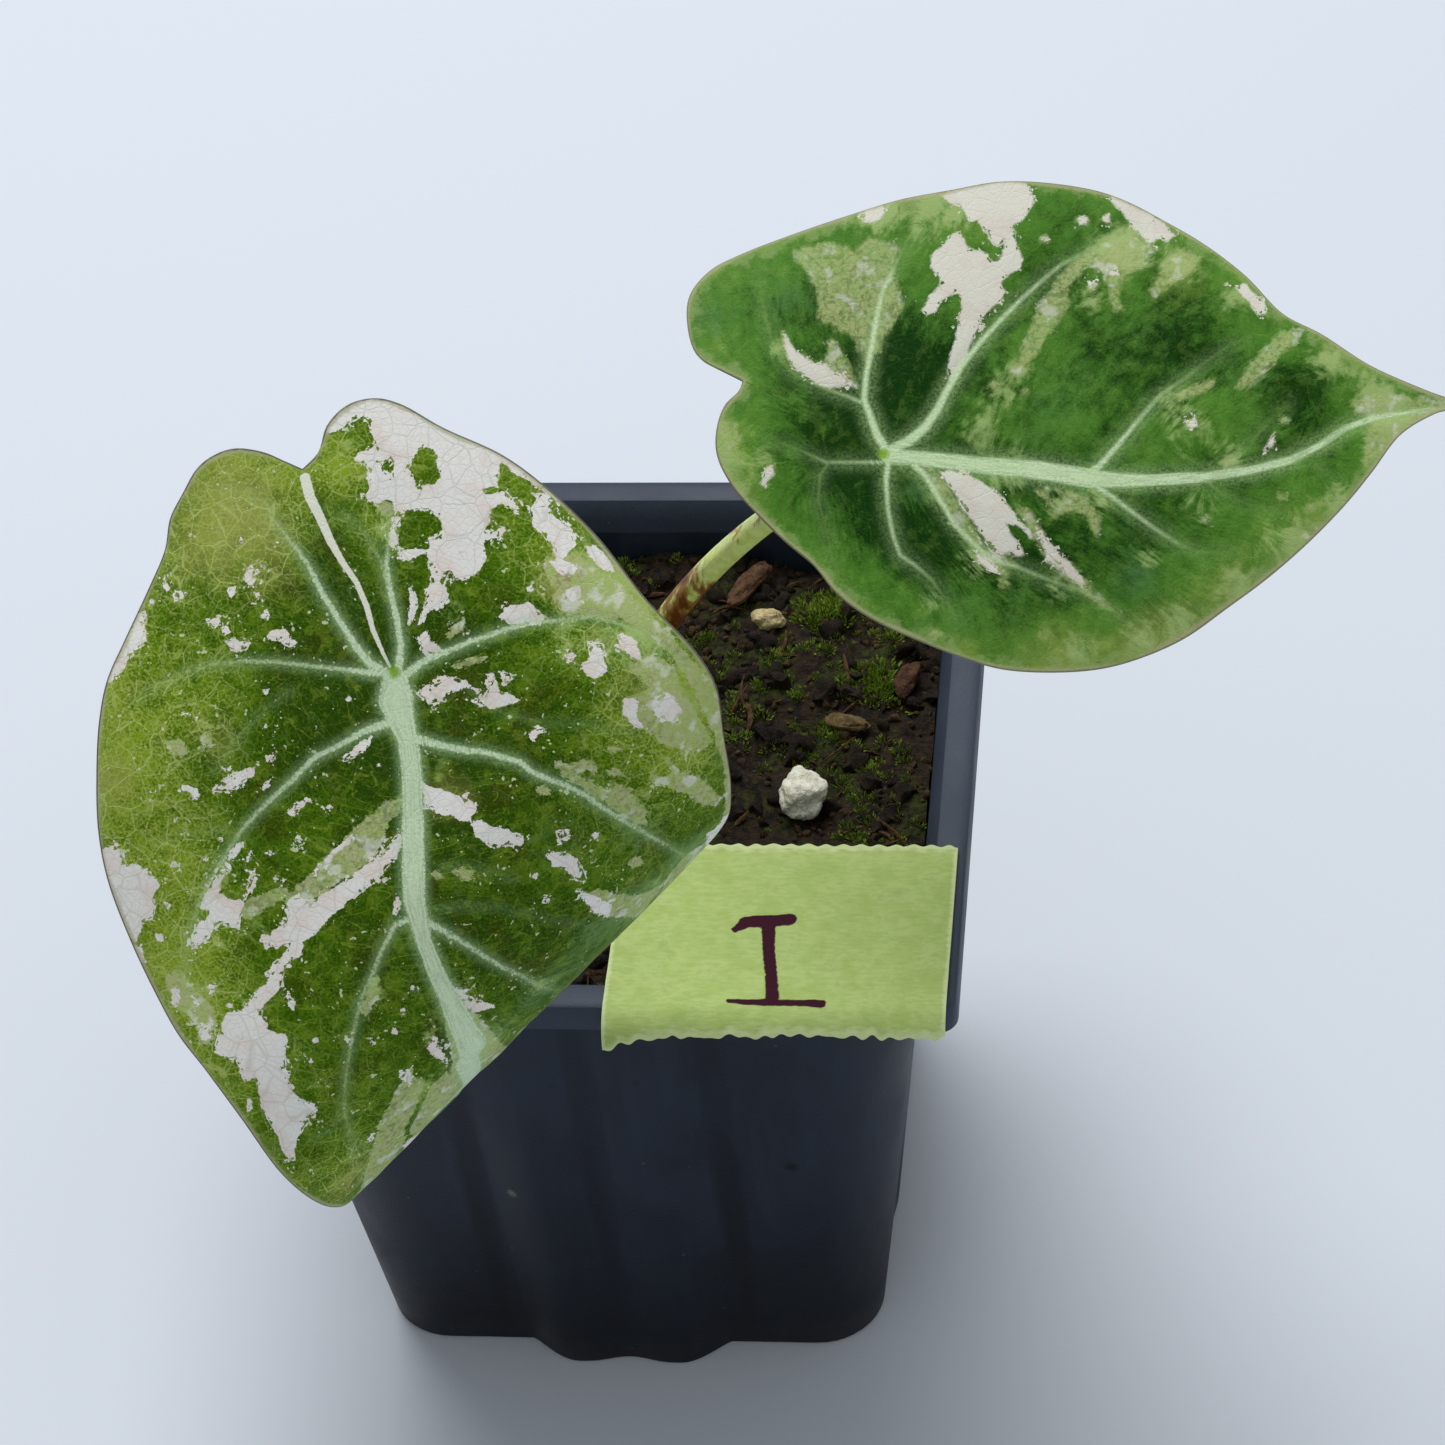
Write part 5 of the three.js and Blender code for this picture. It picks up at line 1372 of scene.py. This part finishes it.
def make_stalk(name, node, points, blade, finish):
    """A stalk on a cubic curve through its foot and two handles to the leaf's underside"""
    normal = turn_matrix(blade["turns"]) @ Vector((0, 0, 1))
    top = Vector(blade["place"]) - normal * (BLADE_THICKNESS * 0.6)
    ends = [Vector(point) for point in points] + [top]
    rings, heights = [], []
    side = Vector((1, 0, 0))
    for step in range(STALK_STEPS + 1):
        t = step / STALK_STEPS
        centre = (ends[0] * (1 - t) ** 3 + ends[1] * 3 * t * (1 - t) ** 2
                  + ends[2] * 3 * t * t * (1 - t) + ends[3] * t ** 3)
        along = ((ends[1] - ends[0]) * (1 - t) ** 2 + (ends[2] - ends[1]) * 2 * t * (1 - t)
                 + (ends[3] - ends[2]) * t * t).normalized()
        side = (side - along * side.dot(along)).normalized()
        other = along.cross(side)
        radius = np.interp(t, STALK_HEIGHTS, STALK_RADII)
        ring = []
        for k in range(STALK_SIDES + 1):
            angle = 2 * math.pi * k / STALK_SIDES
            ripple = 1 + 0.025 * math.sin(5 * angle + 3 * t) + 0.02 * math.sin(9 * angle)
            spoke = (side * math.cos(angle) + other * math.sin(angle)) * radius * ripple
            if step == STALK_STEPS:
                spoke -= along * (spoke.dot(normal) / along.dot(normal))
            ring.append(centre + spoke)
            heights.append(t)
        rings.append(ring)
    stalk = formed_grid(name, np.array(rings))
    set_attributes(stalk, height=np.array(heights))
    merge_seams(stalk)
    close_up(stalk)
    stalk.data.materials.append(finish)
    shade_smooth(stalk, 60)
    return keep_piece(stalk, name, [node])


# Pot

def pot_face(z, half, corner, lobe):
    """One face of the pot's outline, with its two ribs, and the round corner that follows it"""
    flat = half - corner
    span = RIB_SPAN + (RIB_SPAN_TOP - RIB_SPAN) * z / POT_HEIGHT
    across = np.linspace(-span, span, RIB_POINTS)
    turn = math.pi * across / span
    flank = np.abs(np.sin(turn)) ** 1.2
    crest = 1 - GROOVE_DEPTH * np.abs(np.cos(turn)) ** 3
    swell = np.where(np.abs(across) > span / 2, flank, crest)
    face = [(-flat + (flat - span) * step / 4, -half) for step in range(4)]
    face += list(zip(across, -half - lobe * swell))
    face += [(span + (flat - span) * step / 4, -half) for step in range(1, 4)]
    for step in range(CORNER_STEPS):
        angle = math.pi / 2 * step / CORNER_STEPS
        face.append((flat + corner * math.sin(angle), -flat - corner * math.cos(angle)))
    return face


def pot_outline(z, half, corner, lobe):
    """The pot's outline at one height: a square with round corners and two ribs on each face"""
    outline = []
    for cos, sin in ((1, 0), (0, 1), (-1, 0), (0, -1)):
        depth = lobe * SIDE_RIB_SHARE if cos == 0 else lobe
        face = pot_face(z, half, corner, depth)
        outline += [(x * cos - y * sin, x * sin + y * cos, z) for x, y in face]
    return outline + outline[:1]


def body_outline(z, inset=0.0, at=None):
    rise = z / (POT_HEIGHT - POT_RIM_BAND)
    half = POT_BASE_HALF + (POT_TOP_HALF - POT_BASE_HALF) * rise
    corner = POT_BASE_CORNER + (POT_TOP_CORNER - POT_BASE_CORNER) * rise
    lobe = RIB_DEPTH * (1 - z / POT_HEIGHT)
    return pot_outline(z if at is None else at, half - inset, corner - inset, lobe)


def rim_outline(z, inset):
    return pot_outline(z, POT_RIM_HALF - inset, max(POT_RIM_CORNER - inset, 0.3), 0)


def lip_outline(z, inset):
    return pot_outline(z, POT_LIP_HALF - inset, POT_TOP_CORNER, 0)


def make_pot(finish):
    height, wall = POT_HEIGHT, POT_WALL
    band = height - POT_RIM_BAND
    rings = [
        # under the base, and up the outside
        body_outline(0, 2.5, 0.5), body_outline(0, 1.6, 0), body_outline(0, 0.55, 0),
        body_outline(0.12, 0.2), body_outline(0.5),
        *(body_outline(z) for z in np.linspace(6, height - wall - 0.4, 10)),
        # out under the rim, round its band and over its top
        body_outline(height - wall, -0.4), rim_outline(height - wall, wall + 0.4),
        rim_outline(height - wall - 0.4, wall), rim_outline(band + 0.15, wall),
        rim_outline(band, wall - 0.2), rim_outline(band, 0.2), rim_outline(band + 0.2, 0),
        rim_outline(height - 0.55, 0), rim_outline(height - 0.16, 0.14),
        rim_outline(height, 0.5), rim_outline(height, 1.4),
        lip_outline(height, -0.5), lip_outline(height - 0.12, -0.1), lip_outline(height - 0.5, 0.2),
        # down the inside, and in over the floor
        *(body_outline(z, wall) for z in np.linspace(height - 2, 4, 8)),
        body_outline(2, wall), body_outline(1.3, wall + 0.7, 1.2), body_outline(1, wall + 1.6, 1)]
    pot = ringed_body("pot", rings, finish)
    for x, y in ((-1, -1), (-1, 0), (-1, 1), (0, -1), (0, 1), (1, -1), (1, 0), (1, 1)):
        deselect_all()
        bpy.ops.mesh.primitive_cylinder_add(
            vertices=28, radius=DRAIN_RADIUS * MM, depth=8 * MM,
            location=(x * DRAIN_OFFSET * MM, y * DRAIN_OFFSET * MM, 0))
        drill = bpy.context.object
        apply_modifier(pot, "BOOLEAN", object=drill, operation="DIFFERENCE", solver="EXACT")
        bpy.data.objects.remove(drill)
    shade_smooth(pot, 35)
    return keep_piece(pot, "square_pot", ["nursery_pot"])


# Potting mix

def mix_level(x, y):
    broad = math.sin(0.16 * x + 0.8) * math.sin(0.14 * y + 2)
    off_foot = (x - STALK_FOOT[0]) ** 2 + (y - STALK_FOOT[1]) ** 2
    mound = math.exp(-off_foot / MOUND_SPREAD)
    rough = noise.fractal((x / 6, y / 6, 3), 0.8, 2.2, 4)
    return MIX_LEVEL + MIX_SWELL * broad + MIX_MOUND * mound + MIX_ROUGHNESS * rough


def make_mix(finish):
    outline = np.array(body_outline(MIX_LEVEL, POT_WALL + 0.15))[:, :2]
    foot = np.array(body_outline(POT_WALL + 0.4, POT_WALL + 1.2))[:, :2]
    low = POT_WALL + 0.3
    rings = [[(x * 0.02, y * 0.02, low) for x, y in foot], [(x, y, low) for x, y in foot]]
    rings.append([(x * 0.96, y * 0.96, mix_level(x, y) - 6) for x, y in outline])
    for share in np.linspace(1, 0.002, 90):
        rings.append([(x * share, y * share, mix_level(x * share, y * share)) for x, y in outline])
    mix = ringed_body("mix", rings, finish)
    shade_smooth(mix, 80)
    return keep_piece(mix, "soil_surface", ["potting_mix"])


def corm_rings():
    x0, y0 = STALK_FOOT
    rings = []
    for share in np.linspace(0, 1, 25):
        scar = 1 + 0.03 * math.cos(12 * math.pi * share)
        radius = CORM_RADIUS * scar * math.sin(math.pi * (0.02 + 0.86 * share)) ** 0.35
        z = CORM_BOTTOM + (CORM_TOP - CORM_BOTTOM) * share
        rings.append([(x0 + radius * math.cos(turn), y0 + radius * math.sin(turn), z)
                      for turn in np.linspace(0, 2 * math.pi, 33)])
    return rings


def root_rings(angle, reach, drop, bow):
    x0, y0 = STALK_FOOT
    rings = []
    for t in np.linspace(0, 1, 25):
        out = 3 + (reach - 3) * math.sin(math.pi / 2 * t)
        turn = angle + bow * t
        z = CORM_BOTTOM + 8 * (1 - t) - drop * t * t
        radius = 1.1 * (1 - 0.55 * t) * (1 + 0.06 * math.sin(23 * t))
        rings.append([(x0 + out * math.cos(turn) + radius * math.cos(side) * math.sin(turn),
                       y0 + out * math.sin(turn) - radius * math.cos(side) * math.cos(turn),
                       z + radius * math.sin(side)) for side in np.linspace(0, 2 * math.pi, 13)])
    return rings


def make_corm(finish):
    """The corm and its roots, which the mix hides"""
    bodies = [corm_rings()]
    draw = random.Random(5)
    for root in range(ROOTS):
        angle = 2 * math.pi * (root + 0.3 * draw.random()) / ROOTS
        reach, drop, bow = draw.uniform(15, 22), draw.uniform(22, 29), draw.uniform(-0.2, 0.2)
        bodies.append(root_rings(angle, reach, drop, bow))
    pieces = [ringed_body("corm", rings, finish) for rings in bodies]
    deselect_all()
    for piece in pieces:
        piece.select_set(True)
    bpy.context.view_layer.objects.active = pieces[0]
    bpy.ops.object.join()
    corm = bpy.context.object
    shade_smooth(corm, 60)
    return keep_piece(corm, "corm_and_roots", ["corm_with_roots"])


# What lies on the mix

def scatter(name, shapes, placements, finish, smooth=60):
    """Copies of a few shapes at many places, each with its size and turn, as one piece"""
    points, faces = [], []
    count = 0
    for shape, (centre, size, turn) in placements:
        base, base_faces = shapes[shape]
        points.append(((base * size) @ np.array(turn).T + centre) * MM)
        faces += [tuple(index + count for index in face) for face in base_faces]
        count += len(base)
    mesh = bpy.data.meshes.new(name)
    mesh.from_pydata(np.vstack(points).tolist(), [], faces)
    piece = bpy.data.objects.new(name, mesh)
    bpy.context.collection.objects.link(piece)
    mesh.materials.append(finish)
    shade_smooth(piece, smooth)
    return keep_piece(piece, name)


def random_turn(draw, tilt=math.pi):
    return (Matrix.Rotation(draw.uniform(0, 2 * math.pi), 3, "Z")
            @ Matrix.Rotation(draw.uniform(-tilt, tilt), 3, "X")
            @ Matrix.Rotation(draw.uniform(-tilt, tilt), 3, "Y"))


def soil_spot(draw, reach=39.2):
    while True:
        x, y = draw.uniform(-reach, reach), draw.uniform(-reach, reach)
        if abs(x) + abs(y) < CORNER_CUT:
            return x, y


def lump_shape(seed, detail, roughness):
    """One broken crumb, as points and faces"""
    deselect_all()
    bpy.ops.mesh.primitive_ico_sphere_add(subdivisions=detail, radius=1)
    lump = bpy.context.object
    points = np.array([vertex.co for vertex in lump.data.vertices])
    scale = [1 + roughness * noise.noise(Vector(point) * 1.3 + Vector((seed * 7.1, 0, 0)))
             for point in points]
    faces = [tuple(face.vertices) for face in lump.data.polygons]
    bpy.data.objects.remove(lump)
    return points * np.array(scale)[:, None], faces


def strewn(draw, count, kinds, sizes, heights):
    """Places of crumbs on the mix, each with its kind, size and turn"""
    places = []
    for _ in range(count):
        x, y = soil_spot(draw)
        across = draw.uniform(*sizes)
        size = across * np.array((1, draw.uniform(0.6, 1), draw.uniform(*heights)))
        kind = draw.randrange(kinds)
        places.append((kind, ((x, y, mix_level(x, y) + 0.1), size, random_turn(draw))))
    return places


def make_crumbs():
    draw = random.Random(4)
    shapes = [lump_shape(seed, 2, 0.9) for seed in range(5)]
    small = [lump_shape(seed, 1, 0.8) for seed in range(5, 9)]
    crumbs = strewn(draw, count=420, kinds=5, sizes=(0.7, 1.7), heights=(0.5, 0.9))
    grains = strewn(draw, count=1100, kinds=4, sizes=(0.25, 0.75), heights=(0.6, 1))
    dark = plain_finish("dark crumbs", (20, 16, 10), (50, 38, 22), 1.4, 0.5)
    brown = plain_finish("brown crumbs", (40, 28, 16), (86, 66, 38), 0.9, 0.3)
    scatter("soil_crumbs", shapes, crumbs, dark)
    scatter("soil_grains", small, grains, brown)


def fibre_shape(seed, bend):
    """A short bent shred of bark or coir, as points and faces"""
    draw = random.Random(seed)
    points, faces = [], []
    sides, steps = 5, 7
    for step in range(steps + 1):
        t = step / steps
        centre = np.array((t * 2 - 1, bend * math.sin(math.pi * t), 0.3 * bend * math.sin(4 * t)))
        radius = 0.12 * math.sin(math.pi * (0.08 + 0.84 * t)) * draw.uniform(0.8, 1.2)
        for k in range(sides):
            angle = 2 * math.pi * k / sides
            points.append(centre + radius * np.array((0, math.cos(angle), math.sin(angle))))
    for step in range(steps):
        for k in range(sides):
            a, b = step * sides + k, step * sides + (k + 1) % sides
            faces.append((a, b, b + sides, a + sides))
    faces += [tuple(range(sides))[::-1], tuple(range(steps * sides, (steps + 1) * sides))]
    return np.array(points), faces


def make_fibres():
    draw = random.Random(9)
    shapes = [fibre_shape(seed, draw.uniform(-0.5, 0.5)) for seed in range(6)]
    shreds = []
    for _ in range(120):
        x, y = soil_spot(draw, 37)
        size = np.array((draw.uniform(1.2, 4.5), draw.uniform(1.2, 3), draw.uniform(1, 2.5)))
        turn = random_turn(draw, 0.25)
        shreds.append((draw.randrange(6), ((x, y, mix_level(x, y) + 0.35), size, turn)))
    finish = plain_finish("bark fibre", (50, 32, 18), (98, 70, 42), 0.8, 0.15)
    scatter("bark_fibres", shapes, shreds, finish)


def moss_shape(seed):
    """A low cushion of short leafy shoots, as points and faces"""
    draw = random.Random(seed)
    points, faces = [], []
    for _ in range(34):
        angle, out = draw.uniform(0, 2 * math.pi), draw.uniform(0, 1) ** 0.7
        foot = np.array((out * math.cos(angle), out * math.sin(angle), -0.3))
        lean = np.array((math.cos(angle), math.sin(angle), 0)) * (0.15 + 0.5 * out)
        tall = draw.uniform(0.55, 1.0) * (1.2 - 0.5 * out)
        tip = foot + lean * 0.8 + np.array((0, 0, tall))
        side = np.array((-math.sin(angle * 3), math.cos(angle * 3), 0)) * 0.11
        depth = np.cross(side, (0, 0, 1)) * 0.8
        middle = (foot + tip) / 2 + np.array((0, 0, 0.05))
        base = len(points)
        points += [foot, middle - side, middle - depth, middle + side, middle + depth, tip]
        for a, b in ((1, 2), (2, 3), (3, 4), (4, 1)):
            faces += [(base, base + b, base + a), (base + 5, base + a, base + b)]
    return np.array(points), faces


def make_moss():
    draw = random.Random(23)
    shapes = [moss_shape(seed) for seed in range(4)]
    tufts = []
    for x0, y0, spread, count, size in MOSS_BEDS:
        for _ in range(count):
            x, y = draw.gauss(x0, spread / 2), draw.gauss(y0, spread / 2)
            if max(abs(x), abs(y)) < 38.5 and abs(x) + abs(y) < CORNER_CUT:
                sizes = np.full(3, size * draw.uniform(0.6, 1.2))
                kind = draw.randrange(4)
                place = (x, y, mix_level(x, y) + 0.2)
                tufts.append((kind, (place, sizes, random_turn(draw, 0.2))))
    finish = plain_finish("mossy green", (66, 86, 18), (142, 168, 56), 1.2, 0.1, 0.7)
    scatter("moss_tufts", shapes, tufts, finish, smooth=30)


def make_chips():
    for name, place, half, turn, seed, slot, dark, light in CHIPS:
        deselect_all()
        bpy.ops.mesh.primitive_ico_sphere_add(subdivisions=5, radius=1)
        chip = bpy.context.object
        shaped = []
        for vertex in chip.data.vertices:
            start = vertex.co + Vector((seed * 3.7, seed, 0))
            broad = noise.noise(start * 1.4)
            rough = noise.fractal(start * 4, 0.7, 2.1, 4)
            shaped.append(vertex.co * (0.97 + 0.28 * broad + 0.07 * rough))
        turn_z = np.array(Matrix.Rotation(math.radians(turn), 3, "Z"))
        shaped = (np.array(shaped) * np.array(half)) @ turn_z.T + np.array(place)
        chip.data.vertices.foreach_set("co", (shaped * MM).reshape(-1))
        finish = plain_finish(name + " finish", dark, light, 1.2, 0.25)
        chip.data.materials.append(finish)
        shade_smooth(chip, 80)
        keep_piece(chip, name + "_piece", [name])


# Tape

def make_tape(finish):
    columns = TAPE_TEETH * POINTS_PER_TOOTH
    draw = random.Random(6)
    jitter = [draw.uniform(-0.12, 0.12) for _ in range(2 * TAPE_TEETH + 2)]
    points, ink_points, edges = [], [], []
    for row in range(TAPE_ROWS + 1):
        line = []
        for column in range(columns + 1):
            share = column / columns
            x = TAPE_LEFT + (TAPE_RIGHT - TAPE_LEFT) * share
            phase = share * TAPE_TEETH
            wear = 0.55 + 0.35 * noise.noise((x / 3, 0, 4))
            cut = TAPE_TOOTH * wear * math.cos(math.pi * phase) ** 2
            worn = 0.35 * noise.noise((x / 1.3, 7, 0)) + 0.25 * noise.noise((x / 5, 3, 0))
            start = cut + jitter[int(phase)] * 0.5
            slack = TAPE_CORNER_EXTRA * math.exp(-(x - TAPE_LEFT) / TAPE_CORNER_REACH)
            end = TAPE_LENGTH + slack - cut + worn
            v = start + (end - start) * row / TAPE_ROWS
            angle = max(v - TAPE_CURL_START, 0) / TAPE_CURL_RADIUS
            y = TAPE_BACK - min(v, TAPE_CURL_START) - TAPE_CURL_RADIUS * math.sin(angle)
            z = TAPE_UNDERSIDE - TAPE_CURL_RADIUS * (1 - math.cos(angle))
            ripple = noise.fractal((x / 7, v / 7, 1.5), 0.9, 2, 3)
            free = max(0, min(1, (v - 1) / 4)) * 0.12 + 0.05
            line.append((x, y, z + TAPE_THICKNESS + free * (ripple + 0.5)))
            ink_points.append((x, TAPE_BACK - v))
            edges.append(min(v - start, end - v, (x - TAPE_LEFT) * 2, (TAPE_RIGHT - x) * 2))
        points.append(line)
    tape = formed_grid("tape", np.array(points))
    ink = [line_distance(np.array(ink_points), stroke)[0] for stroke in NUMERAL_STROKES]
    set_attributes(tape, ink=np.clip(np.min(ink, axis=0), -2, 4), edge=np.array(edges))
    if sum(face.normal.z for face in tape.data.polygons) < 0:
        on_whole_mesh(tape, bpy.ops.mesh.flip_normals)
    apply_modifier(tape, "SOLIDIFY", thickness=TAPE_THICKNESS * MM, offset=-1, use_rim=True)
    tape.data.materials.append(finish)
    shade_smooth(tape, 50)
    return keep_piece(tape, "paper_tape", ["tape_label"])


# Stage

def make_stage():
    deselect_all()
    bpy.ops.mesh.primitive_plane_add(size=6, location=(0, 0, 0))
    floor = bpy.context.object
    floor.name = "floor"
    finish = Finish("pale floor", Roughness=0.6, Base_Color=(210, 217, 227))
    floor.data.materials.append(finish.material)

    world = bpy.data.worlds.new("studio")
    bpy.context.scene.world = world
    world.use_nodes = True
    background = world.node_tree.nodes["Background"]
    background.inputs["Color"].default_value = (0.92, 0.96, 1, 1)
    background.inputs["Strength"].default_value = 0.37

    for name, place, aim, power in LIGHTS:
        bpy.ops.object.light_add(type="AREA", location=place)
        light = bpy.context.object
        light.name = name
        light.data.shape = "DISK"
        light.data.size = LIGHT_WIDTH
        light.data.energy = power
        light.rotation_euler = (Vector(aim) - Vector(place)).to_track_quat("-Z", "Y").to_euler()

    bpy.ops.object.camera_add()
    camera = bpy.context.object
    camera.location = Vector(CAMERA_PLACE) * MM
    camera.rotation_euler = turn_matrix(CAMERA_TURNS).to_euler()
    camera.data.sensor_fit = "HORIZONTAL"
    camera.data.sensor_width = SENSOR
    camera.data.lens = FOCAL_PIXELS * SENSOR / PHOTO_SIZE
    camera.data.clip_start = 0.01
    bpy.context.scene.camera = camera
    bpy.context.scene.view_settings.view_transform = "Standard"


make_stage()
under = underside_finish("leaf underside")
large_upper = LeafFinish("velvety marbled leaf", LARGE_TINTS, softness=0.05, streak=0.5).finished()
small_upper = LeafFinish("glossy marbled leaf", SMALL_TINTS, softness=0.3, streak=0.22).finished()
make_leaf("large_leaf", "left_leaf", LEFT_BLADE, LEFT_MARKS, large_upper, under)
make_leaf("small_leaf", "right_leaf", RIGHT_BLADE, RIGHT_MARKS, small_upper, under)
make_stalk("large_leaf_stalk", "left_stalk", LEFT_STALK, LEFT_BLADE,
           stalk_finish("waxy green stalk", rust_start=0.7, rust_end=0.8))
make_stalk("small_leaf_stalk", "right_stalk", RIGHT_STALK, RIGHT_BLADE,
           stalk_finish("rusty green stalk", rust_start=0.36, rust_end=0.6))
make_pot(pot_finish())
make_mix(soil_finish())
make_corm(plain_finish("corm brown", (92, 66, 42), (150, 116, 78), 2.5, 0.3))
make_crumbs()
make_fibres()
make_moss()
make_chips()
make_tape(tape_finish())
